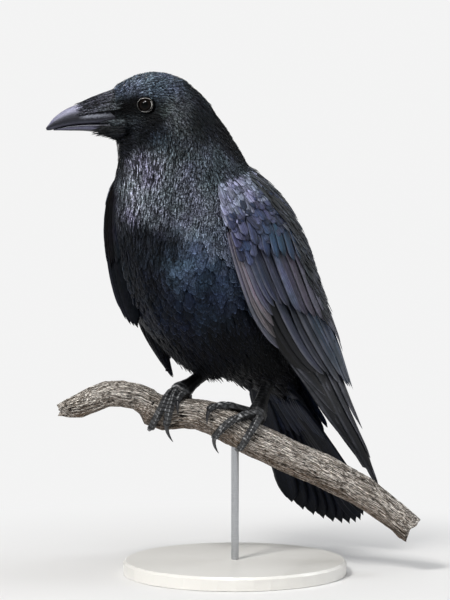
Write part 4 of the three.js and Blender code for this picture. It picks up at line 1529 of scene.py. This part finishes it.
def makeTail():
    rng = np.random.default_rng(tail["seed"])
    numbers = np.arange(2 * tail["pairs"]) - (tail["pairs"] - 0.5)
    share = numbers / (tail["pairs"] - 0.5)
    lengths = tail["length"] - tail["rounding"] * share**2 + tail["skew"] * share
    lengths = lengths + rng.normal(0, 0.5, len(share))
    widths = np.full(len(share), float(tail["width"]))
    starts = np.stack([0 * share, tail["root"] * share + tail["shift"]], 1)
    drops = -tail["camber"] * share**2 - tail["stack"] * np.abs(numbers)
    drops = drops[:, None] + tail["sag"] * np.sin(vaneStops * 3)[None] - tail["drop"]
    leans = np.radians(tail["spread"] * share + tail["turn"])
    laid = (starts, leans, lengths, widths, drops)
    tailLeaves("tail_feathers", vaneLeaf, vaneStops, *laid, False, tail["colour"], 0.0, rng)
    for name, below in (("tail_coverts", False), ("undertail_coverts", True)):
        starts = []
        for row in range(tailCoverts["rows"]):
            wide = tailCoverts["half"] + tailCoverts["wider"] * row
            ahead = tailCoverts["start"] + tailCoverts["step"] * row
            count = tailCoverts["count"] + row % 2
            for aside in np.linspace(-wide + tailCoverts["bare"] * below, wide, count):
                starts.append((ahead, aside + rng.normal(0, 1)))
        starts = np.array(starts)
        count = len(starts)
        lengths = tailCoverts["length"] * rng.uniform(0.85, 1.15, count)
        widths = tailCoverts["width"] * rng.uniform(0.9, 1.1, count)
        leans = np.radians(starts[:, 1] * tailCoverts["splay"] + tail["turn"] + rng.normal(0, 1.5, count))
        side = -1 if below else 1
        fall = np.interp(starts[:, 0], *tailCoverts["falls"])[:, None]
        fall = fall * (1 - smallStops[None] * tailCoverts["flatten"])
        drops = side * fall - 2 * below - tailCoverts["round"] * starts[:, 1:] ** 2
        laid = (starts, leans, lengths, widths, drops)
        tailLeaves(name, smallLeaf, smallStops, *laid, below, tailCoverts["colour"], 0.3, rng)


makeTail()
print("tail is laid")


# forward, up, half width, depth above and below, in the head's frame
billStations = {
    "upper": [
        (40, -12.4, 12.4, 28.2, 2.6),
        (62, -12.8, 9.8, 24.8, 2.2),
        (78, -13.6, 7.8, 19.8, 2.0),
        (92, -15, 6, 15.6, 2.2),
        (104, -17, 4.2, 9.6, 2.6),
        (111.5, -19, 2.4, 3.9, 2.8),
        (115.5, -20.2, 0.8, 0.8, 1.6),
    ],
    "lower": [
        (40, -16.8, 11.4, 2.8, 8.4),
        (62, -17, 9, 3.0, 6.8),
        (78, -17.6, 7, 3.0, 4.8),
        (92, -18.6, 5.2, 2.2, 3.6),
        (101, -20, 3.4, 1.2, 2),
        (108, -21.2, 1.3, 0.4, 0.8),
    ],
}
billSquareness = {"upper": 1.8, "lower": 1.9}
ripples = {"height": 0.07, "along": 26, "around": 1.4}


def makeBillHalf(part):
    stations = billStations[part]
    bm = bmesh.new()
    layer = bm.verts.layers.float_vector.new("place")
    bmesh.ops.create_uvsphere(bm, u_segments=56, v_segments=64, radius=1)
    for vertex in bm.verts:
        share = 0.5 + 0.5 * vertex.co.z
        angle = math.atan2(vertex.co.x, vertex.co.y)
        place = limbPoint(stations, billSquareness[part], share, angle)
        if abs(vertex.co.z) > 0.9999:
            place = (limbPoint(stations, 2, share, 0.0) + limbPoint(stations, 2, share, math.pi)) / 2
        # slow growth lines cross the horn
        crossed = Vector((share * ripples["along"], math.cos(angle) * ripples["around"], 3.0))
        ripple = ripples["height"] * noise.noise(crossed)
        place = place + np.array([0, math.sin(angle), math.cos(angle)]) * ripple
        vertex[layer] = (share, abs(angle) / math.pi, place[1] / 20)
        vertex.co = outOf(skull, place) * mm
    return fixFaces(newMesh(bm, f"bill_{part}_horn"))


def hornMaterial(part):
    material, tree, shader = newMaterial(
        f"{part} bill horn",
        Specular_IOR_Level=0.25,
        Specular_Tint=(0.8, 0.82, 1, 1),
        Coat_Weight=0.1,
        Coat_Roughness=0.3,
    )
    place = attribute(tree, "place", "Vector")
    parts = splitNode(tree, place)
    where = objectPlace(tree)
    speck = noiseNode(tree, where, 900.0, 3.0)
    long = scaledNode(tree, place, (3, 26, 20))
    streak = noiseNode(tree, long, 4.0, 4.0)
    wave = mathNode(tree, "MULTIPLY_ADD", mathNode(tree, "SUBTRACT", streak, 0.5), 0.1, parts[1])
    dark, slate, lilacHighlight = shade("09090c"), shade("22232c"), shade("9090a6")
    if part == "upper":
        # painted highlight: a lilac band just below the culmen and a pale strip above the tomium, the strip
        # kept to the part near the base
        ridge = (0.0, shade("4c4c58")), (0.1, lilacHighlight), (0.22, shade("6e6e86")), (0.31, slate)
        around = rampNode(tree, wave, *ridge, (0.4, dark), (0.47, shade("1a1b21")), (0.52, shade("3c3d48")))
        stripHighlight = rampNode(tree, wave, (0.375, 0.0), (0.395, 1.0), (0.413, 1.0), (0.443, 0.0))
        near = rampNode(tree, parts[0], (0.02, 0.1), (0.12, 0.8), (0.28, 1.0), (0.38, 0.0))
        both = mathNode(tree, "MULTIPLY", stripHighlight, near)
        colour = mixNode(tree, mathNode(tree, "MULTIPLY", both, 0.75), around, shade("8d919d"))
    else:
        # painted highlight: a lighter lilac band along the middle of the lower bill
        middle = (0.5, slate), (0.62, shade("6c6c82")), (0.8, slate)
        colour = rampNode(tree, wave, (0.4, dark), *middle, (0.95, dark))
    tip = rampNode(tree, parts[0], (0.75, 0.0), (1.0, 0.75))
    colour = mixNode(tree, tip, colour, shade("1b1c22"))
    fleck = mathNode(tree, "MULTIPLY_ADD", mathNode(tree, "SUBTRACT", speck, 0.5), 1.5, 0.9)
    drawn = spanNode(tree, streak, 0.3, 0.7, 0.75, 1.3)
    colour = toned(tree, colour, mathNode(tree, "MULTIPLY", fleck, drawn))
    tree.links.new(colour, shader.inputs["Base Color"])
    rough = spanNode(tree, streak, 0.0, 1.0, 0.24, 0.5)
    tree.links.new(rough, shader.inputs["Roughness"])
    height = mathNode(tree, "MULTIPLY_ADD", speck, 0.25, streak)
    emboss(tree, shader, height, 0.35, 0.0004)
    return material


# stiff bristles lie forward over the nostrils and the gape, and ragged ones edge the chin;
# "rise" is how far the head stands above the bill's own form
bristles = {
    "nasal": {
        "part": "upper",
        "count": 1100,
        "from": (36, 58),
        "turns": (2, 68),
        "length": (16, 30),
        "width": 0.85,
        "lift": (0.4, 1.1),
        "bend": -3,
        "rise": ((36, 41, 46, 52, 58, 66, 78), (9.6, 7.8, 5.6, 3.8, 2.4, 1.3, 0.4)),
        "colour": "606366",
        "streak": 2.0,
    },
    "rictal": {
        "part": "upper",
        "count": 420,
        "from": (33, 48),
        "turns": (84, 118),
        "length": (9, 15),
        "width": 0.75,
        "lift": (0.4, 1.4),
        "bend": 7,
        "rise": ((33, 44, 52, 60), (9.4, 6.4, 3.2, 0.8)),
        "colour": "44474a",
        "streak": 1.9,
    },
    "chin": {
        "part": "lower",
        "count": 420,
        "from": (33, 54),
        "turns": (92, 180),
        "length": (9, 17),
        "width": 1.3,
        "lift": (0.4, 4.5),
        "bend": 8,
        "rise": ((33, 44, 52, 60), (7.5, 4.5, 2.0, 0.6)),
        "colour": "1d1e20",
        "streak": 1.1,
    },
}
bristleLeaf = leafPattern(2, 6)
bristleStops = np.linspace(0, 1, 7)


def makeBristles(name, kind):
    rng = np.random.default_rng(900 + kind["count"])
    stations = billStations[kind["part"]]
    count = kind["count"]
    angle = np.radians(rng.uniform(*kind["turns"], count)) * np.where(np.arange(count) % 2, 1, -1)
    start = rng.uniform(*kind["from"], count)
    length = rng.uniform(*kind["length"], count)
    ahead = start[:, None] + length[:, None] * bristleStops
    forward = np.array(stations)[:, 0]
    shares = np.linspace(0, 1, len(forward))
    behind = (ahead - forward[0]) / (forward[1] - forward[0]) * shares[1]
    share = np.where(ahead < forward[0], behind, np.interp(ahead, forward, shares))
    turn = angle[:, None] + np.sign(angle)[:, None] * np.radians(kind["bend"]) * bristleStops
    turn = turn + np.radians(rng.normal(0, 2.5, (count, 1))) * bristleStops**2
    low, high = kind["lift"]
    rise = low + (high - low) * rng.random((count, 1)) * bristleStops**1.6
    rise = rise - 0.5 * (1 - bristleStops) + np.interp(ahead, *kind["rise"])
    squareness = billSquareness[kind["part"]]
    paths = limbPoint(stations, squareness, share, turn, rise)
    ups = unit(limbPoint(stations, squareness, share, turn, rise + 1) - paths)
    ways = unit(np.gradient(paths, axis=1))
    sides = unit(np.cross(ways, ups))
    paths = outOf(skull, paths) * mm
    sides, ups = sides @ turnOf(skull).T, ups @ turnOf(skull).T
    looks = {
        "ragged": 0.1,
        "round": 0.0,
        "camber": 0.3,
        "thick": 0.25 * mm,
        "tone": 1 + kind["streak"] * (2.6 * rng.random(count) ** 2.5 - 0.74),
        "roots": paths[:, 0],
        "marking": oneColour(kind["colour"], count),
    }
    shape = outlines(bristleStops, np.ones(count))
    widths = kind["width"] * rng.uniform(0.7, 1.3, count) * mm
    flat = np.zeros((count, len(bristleStops)))
    sizes = (length * mm, widths)
    mesh = layLeaves(bristleLeaf, bristleStops, shape, paths, sides, ups, *sizes, flat, looks, rng)
    addPiece(f"bristles_{name}", mesh, fineCoat, ["head"])


for part in billStations:
    addPiece(f"bill_{part}_horn", makeBillHalf(part), hornMaterial(part), [f"bill_{part}"])
for name, kind in bristles.items():
    makeBristles(name, kind)
print("bill and bristles are made")


eye = {"place": (14.6, 20.6, 4), "radius": 8.2, "axis": (0.16, 0.98, 0.06), "bulge": 0.035}
lid = {
    "radius": 8.85,
    "opening": 46,
    "outer": 90,
    "thick": 0.5,
    "folds": 3,
    "fold": 0.16,
    "crease": 0.12,
    "brim": 0.35,
    "long": 0.05,
    "corners": 0.29,  # how far the pale ring runs out at the front and the back
}


# turns a form made round +Z so that it faces along the eye's own axis
def faceOut(side):
    ahead, out, up = eye["axis"]
    return Vector((ahead, out * side, up)).to_track_quat("Z", "X").to_matrix()


def eyePlace(side):
    ahead, out, up = eye["place"]
    return Vector((ahead, out * side, up))


def eyeMesh(side):
    bm = bmesh.new()
    layer = bm.verts.layers.float_vector.new("place")
    bmesh.ops.create_uvsphere(bm, u_segments=64, v_segments=64, radius=1)
    turn = faceOut(side)
    for vertex in bm.verts:
        polar = math.acos(max(-1.0, min(1.0, vertex.co.z)))
        radius = eye["radius"] * (1 + eye["bulge"] * math.exp(-((polar / 0.6) ** 2)))
        vertex[layer] = (polar / math.pi, math.atan2(vertex.co.y, vertex.co.x) / math.pi, 0)
        vertex.co = outOf(skull, np.array(turn @ (vertex.co * radius) + eyePlace(side))) * mm
    return fixFaces(newMesh(bm, "eyeball"))


def lidMesh(side):
    bm = bmesh.new()
    layer = bm.verts.layers.float_vector.new("place")
    bmesh.ops.create_uvsphere(bm, u_segments=96, v_segments=96, radius=1)
    opening = math.radians(lid["opening"])
    outer = math.radians(lid["outer"])
    spare = [v for v in bm.verts if not opening < math.acos(max(-1, min(1, v.co.z))) < outer]
    bmesh.ops.delete(bm, geom=spare, context="VERTS")
    turn = faceOut(side)
    for vertex in bm.verts:
        polar = math.acos(vertex.co.z)
        around = math.atan2(vertex.co.y, vertex.co.x)
        part = (polar - opening) / (outer - opening)
        fold = math.sin(part * math.pi * lid["folds"]) * lid["fold"]
        crumpled = Vector((math.cos(around) * 6, math.sin(around) * 6, part * 3))
        crease = lid["crease"] * noise.noise(crumpled)
        radius = lid["radius"] + fold + crease + lid["brim"] * (1 - part) ** 6
        # the opening is a little longer from front to back
        tall = polar * (1 - lid["long"] * math.cos(2 * around) * (1 - part))
        flat = math.sin(tall)
        aim = Vector((flat * math.cos(around), flat * math.sin(around), math.cos(tall)))
        place = turn @ (aim * radius)
        share = part + lid["corners"] * math.cos(around) ** 2
        vertex[layer] = (share, around / math.pi, place.x / radius)
        vertex.co = outOf(skull, np.array(place + eyePlace(side))) * mm
    bmesh.ops.solidify(bm, geom=bm.faces[:], thickness=lid["thick"] * mm)
    return fixFaces(newMesh(bm, "lids"))


def eyeMaterial():
    material, tree, shader = newMaterial(
        "dark eye",
        Roughness=0.2,
        Specular_IOR_Level=0.0,
        Coat_Weight=1.0,
        Coat_Roughness=0.02,
        Coat_IOR=1.17,
    )
    place = attribute(tree, "place", "Vector")
    polar = splitNode(tree, place)[0]
    rays = scaledNode(tree, place, (2, 22, 0))
    fibre = noiseNode(tree, rays, 3.0, 2.0)
    iris = mixNode(tree, fibre, shade("060403"), shade("140c08"))
    seen = rampNode(tree, polar, (0.0, 0.0), (0.13, 0.0), (0.15, 1.0), (0.24, 1.0), (0.27, 0.0))
    tree.links.new(mixNode(tree, seen, shade("020202"), iris), shader.inputs["Base Color"])
    return material


def lidMaterial():
    material, tree, shader = newMaterial("eyelid skin", Roughness=0.55, Specular_IOR_Level=0.12)
    place = attribute(tree, "place", "Vector")
    parts = splitNode(tree, place)
    where = objectPlace(tree)
    grain = noiseNode(tree, where, 1400.0, 3.0)
    broken = noiseNode(tree, where, 420.0, 1.0)
    rear = spanNode(tree, parts[2], -0.2, -0.5)
    inner = rampNode(tree, parts[0], (0.0, 0.9), (0.08, 0.9), (0.13, 0.0))
    outer = rampNode(tree, parts[0], (0.385, 0.0), (0.405, 1.0), (0.45, 1.0), (0.47, 0.0))
    lines = mathNode(tree, "MULTIPLY_ADD", inner, rear, outer)
    share = mathNode(tree, "MULTIPLY", lines, rampNode(tree, broken, (0.36, 0.7), (0.56, 1.0)))
    base = mixNode(tree, grain, shade("030304"), shade("090909"))
    tree.links.new(mixNode(tree, share, base, shade("f8f6f2")), shader.inputs["Base Color"])
    emboss(tree, shader, grain, 0.5, 0.0003)
    return material


darkEye, lidSkin = eyeMaterial(), lidMaterial()
for side, title in ((1, "left"), (-1, "right")):
    addPiece(f"eyeball_{title}", eyeMesh(side), darkEye, [f"eye_{title}"])
    addPiece(f"lids_{title}", lidMesh(side), lidSkin, ["head"])
print("eyes are made")


# the middle line of the branch: across, up
perchLine = [
    (-184, 172),
    (-163, 178),
    (-129, 189),
    (-98, 184),
    (-78, 174),
    (-40, 169),
    (-8, 157),
    (24, 139),
    (62, 122),
    (100, 104),
    (130, 87),
    (162, 65),
    (185, 46),
]
# sizes of the grain are along and across, with a start of its own for each
bark = {
    "voxel": 1.15 * mm,
    "rounds": 2,
    "deep": 1.5,
    "ridge": 0.9,
    "twist": 0.006,
    "ends": (178, 190),
    "coarse": (46, 3.6, 0),
    "fine": (13, 2.1, 7),
    "plates": (60, 11, 3),
    "narrow": 8,
}


def aroundPerch(points):
    line = np.array(perchLine, float)
    middle = np.interp(points[:, 0], line[:, 0], line[:, 1])
    return np.stack([points[:, 0], points[:, 1], points[:, 2] - middle], 1)


def grainAt(x, across, up, size):
    long, wide, start = bark[size]
    return noise.noise(Vector((x / long + start, across / wide, up / wide)))


def makePerch():
    mesh = remeshed(copyOf(["perch"]), bark["voxel"], bark["rounds"])
    points = arrayOf(mesh)
    normals = normalsOf(mesh)
    grain = aroundPerch(points / mm)
    height = np.empty(len(points))
    for number, (x, y, z) in enumerate(grain):
        # fissures run along the branch and twist slowly round it
        turn = x * bark["twist"]
        across = y * math.cos(turn) - z * math.sin(turn)
        up = y * math.sin(turn) + z * math.cos(turn)
        coarse, fine, plates = (grainAt(x, across, up, size) for size in ("coarse", "fine", "plates"))
        crack = max(0.0, 1 - abs(coarse + 0.35 * fine) * bark["narrow"])
        height[number] = -bark["deep"] * crack**1.5 + bark["ridge"] * (plates + 0.55 * fine)
    ends = smoothStep(*bark["ends"], np.abs(grain[:, 0]))
    setPlaces(mesh, points + normals * (height * (1 - ends) * mm)[:, None])
    mark(mesh, "grain", "FLOAT_VECTOR", grain)
    mark(mesh, "height", "FLOAT", height)
    return mesh


def barkMaterial():
    material, tree, shader = newMaterial("weathered bark", Roughness=0.85, Specular_IOR_Level=0.15)
    grain = attribute(tree, "grain", "Vector")
    height = attribute(tree, "height", "Fac")
    where = objectPlace(tree)
    bent = addNode(tree, "TexNoise", {"Vector": where, "Scale": 34.0, "Detail": 2.0}).outputs["Color"]
    swirl = scaledNode(tree, bent, (0, 6, 6))
    swirl = addNode(tree, "VectorMath", {0: grain, 1: swirl}, operation="ADD").outputs[0]
    long = scaledNode(tree, swirl, (0.04, 1.0, 1.0))
    fibre = noiseNode(tree, long, 1.0, 6.0, 0.75)
    cloud = noiseNode(tree, where, 26.0, 4.0)
    short = scaledNode(tree, swirl, (0.3, 1.1, 1.1))
    crumb = noiseNode(tree, short, 1.0, 4.0)
    crumb = spanNode(tree, crumb, 0.36, 0.64, 0.3, 1.6)
    dry = mixNode(tree, rampNode(tree, cloud, (0.4, 0.0), (0.62, 1.0)), shade("a9a39c"), shade("8a7f73"))
    deep = (0.43, shade("120f0d")), (0.475, shade("5c5147"))
    body = rampNode(tree, fibre, *deep, (0.52, shade("aaa39b")), (0.57, shade("f2eee8")))
    body = mixNode(tree, 0.25, body, dry)
    # darker brown towards the underside: partly the bark's own colour and partly painted shade
    under = splitNode(tree, grain)[2]
    under = spanNode(tree, under, 2.0, -14.0)
    body = mixNode(tree, mathNode(tree, "MULTIPLY", under, 0.6), body, shade("54402f"))
    low = spanNode(tree, height, -0.25, -1.5)
    body = mixNode(tree, low, body, shade("171412"))
    body = toned(tree, body, crumb)
    tree.links.new(body, shader.inputs["Base Color"])
    relief = mathNode(tree, "MULTIPLY_ADD", crumb, 0.3, fibre)
    emboss(tree, shader, relief, 0.9, 0.0012)
    return material


addPiece("perch_bark", makePerch(), barkMaterial(), ["perch"])
print("perch is made")


foot = {
    "grow": 0.12 * mm,
    "voxel": 0.55 * mm,
    "rounds": 2,
    "scute": 3.7,
    "tarsusScute": 4.4,
    "scuteHeight": 0.75,
    "grain": 1.7,
    "leg": 1.3,
    "grip": 21,  # from the perch's middle line to the middle of a toe
    "stand": 22,
}
claw = {"voxel": 0.42 * mm, "rounds": 3}
# the ankle in the bird's frame, and where the foot stands along the perch
ankles = {"right": ((-38, -31, 210), -60), "left": ((-75, 24, 204), 11)}
digits = ("outer", "middle", "inner", "hind")


def makeFoot(title):
    names = [f"tarsus_{title}"] + [f"toe_{d}_{title}" for d in digits]
    mesh = remeshed(copyOf(names, foot["grow"]), foot["voxel"], foot["rounds"])
    points = arrayOf(mesh)
    normals = normalsOf(mesh)
    tree, owners = nodeTree(names)
    onLeg = np.array([owners[tree.find_nearest(Vector(p))[2]].startswith("tarsus") for p in points])
    around = aroundPerch(points / mm)
    radius = np.linalg.norm(around[:, 1:], axis=1)
    angle = np.arctan2(-around[:, 1], around[:, 2])
    along = angle * foot["grip"]
    out = np.stack([0 * radius, around[:, 1] / radius, around[:, 2] / radius], 1)
    ankle, footX = ankles[title]
    high = outOf(bird, ankle)
    low = np.array([footX, 0, 0])
    low[2] = np.interp(footX, *np.array(perchLine).T) + foot["stand"]
    aim = unit(high - low)
    along[onLeg] = (points[onLeg] / mm - low) @ aim
    top = np.where(onLeg, normals @ facing, (normals * out).sum(axis=1))
    pitch = np.where(onLeg, foot["tarsusScute"], foot["scute"])
    phase = along / pitch
    plate = 1 - np.abs(2 * (phase - np.floor(phase)) - 1) ** 3.5
    height = np.empty(len(points))
    for number, point in enumerate(points / mm):
        near = noise.voronoi(Vector(point / foot["grain"]))[0]
        height[number] = min(1.0, (near[1] - near[0]) * 2.2)
    share = smoothStep(0.05, 0.35, top)
    height = height * 0.6 * (1 - share) + plate * share
    grown = (height - 0.5) * foot["scuteHeight"] + foot["leg"] * onLeg
    setPlaces(mesh, points + normals * (grown * mm)[:, None])
    # painted highlight: where the scutes face out from the perch, or forward on the tarsus
    paintedHighlight = smoothStep(0.72 - 0.4 * onLeg, 1.0, top) * plate
    mark(mesh, "height", "FLOAT", height)
    mark(mesh, "paintedHighlight", "FLOAT", paintedHighlight)
    return mesh


def footMaterial():
    material, tree, shader = newMaterial("scaled foot skin", Roughness=0.42, Specular_IOR_Level=0.4)
    height = attribute(tree, "height", "Fac")
    where = objectPlace(tree)
    cloud = noiseNode(tree, where, 240.0, 3.0)
    grain = noiseNode(tree, where, 1600.0, 2.0)
    paintedHighlight = attribute(tree, "paintedHighlight", "Fac")
    plate = mixNode(tree, rampNode(tree, cloud, (0.4, 0.0), (0.65, 1.0)), shade("18191c"), shade("46484b"))
    # painted highlight: pale beads on the tops of the scutes, broken up by noise
    highlightBreakup = rampNode(tree, cloud, (0.35, 0.2), (0.6, 1.0))
    highlightShare = mathNode(tree, "MULTIPLY", rampNode(tree, paintedHighlight, (0.5, 0.0), (0.95, 1.0)), highlightBreakup)
    plate = mixNode(tree, highlightShare, plate, shade("8e9093"))
    shown = mixNode(tree, rampNode(tree, height, (0.35, 0.0), (0.85, 1.0)), shade("030304"), plate)
    shown = toned(tree, shown, mathNode(tree, "MULTIPLY_ADD", grain, 0.8, 0.6))
    tree.links.new(shown, shader.inputs["Base Color"])
    emboss(tree, shader, grain, 0.4, 0.0002)
    return material


def clawMaterial():
    look = {"Specular_IOR_Level": 0.5, "Coat_Weight": 0.3, "Coat_Roughness": 0.15}
    material, tree, shader = newMaterial("claw horn", **look)
    where = objectPlace(tree)
    cloud = noiseNode(tree, where, 180.0, 4.0)
    scratch = noiseNode(tree, where, 1500.0, 2.0)
    base = mixNode(tree, cloud, shade("070708"), shade("303136"))
    tree.links.new(base, shader.inputs["Base Color"])
    rough = spanNode(tree, scratch, 0.0, 1.0, 0.2, 0.42)
    tree.links.new(rough, shader.inputs["Roughness"])
    emboss(tree, shader, scratch, 0.2, 0.0001)
    return material


footSkin, clawHorn = footMaterial(), clawMaterial()
for title in ("left", "right"):
    toes = [f"toe_{d}_{title}" for d in digits]
    claws = [f"claw_{d}_{title}" for d in digits]
    addPiece(f"foot_{title}", makeFoot(title), footSkin, [f"tarsus_{title}", *toes])
    horn = remeshed(copyOf(claws), claw["voxel"], claw["rounds"])
    addPiece(f"claws_{title}", horn, clawHorn, claws)
print("feet are made")


def enamelMaterial():
    look = {"Roughness": 0.35, "Specular_IOR_Level": 0.4, "Coat_Weight": 0.2}
    material, tree, shader = newMaterial("white enamel", **look)
    where = objectPlace(tree)
    cloud = noiseNode(tree, where, 14.0, 3.0)
    peel = noiseNode(tree, where, 420.0, 2.0)
    tree.links.new(mixNode(tree, cloud, shade("e4e2dd"), shade("efeeea")), shader.inputs["Base Color"])
    emboss(tree, shader, peel, 0.15, 0.0003)
    return material


def steelMaterial():
    material, tree, shader = newMaterial("brushed steel", Metallic=1.0)
    where = objectPlace(tree)
    ringed = scaledNode(tree, where, (60, 60, 2400))
    brush = noiseNode(tree, ringed, 1.0, 3.0)
    tree.links.new(mixNode(tree, brush, shade("9b9da1"), shade("c9cbce")), shader.inputs["Base Color"])
    rough = spanNode(tree, brush, 0.0, 1.0, 0.22, 0.42)
    tree.links.new(rough, shader.inputs["Roughness"])
    emboss(tree, shader, brush, 0.12, 0.0001)
    return material


for node, material in (("stand_base", enamelMaterial()), ("stand_rod", steelMaterial())):
    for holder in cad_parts[node].material_slots:
        holder.material = material
print("stand is finished")
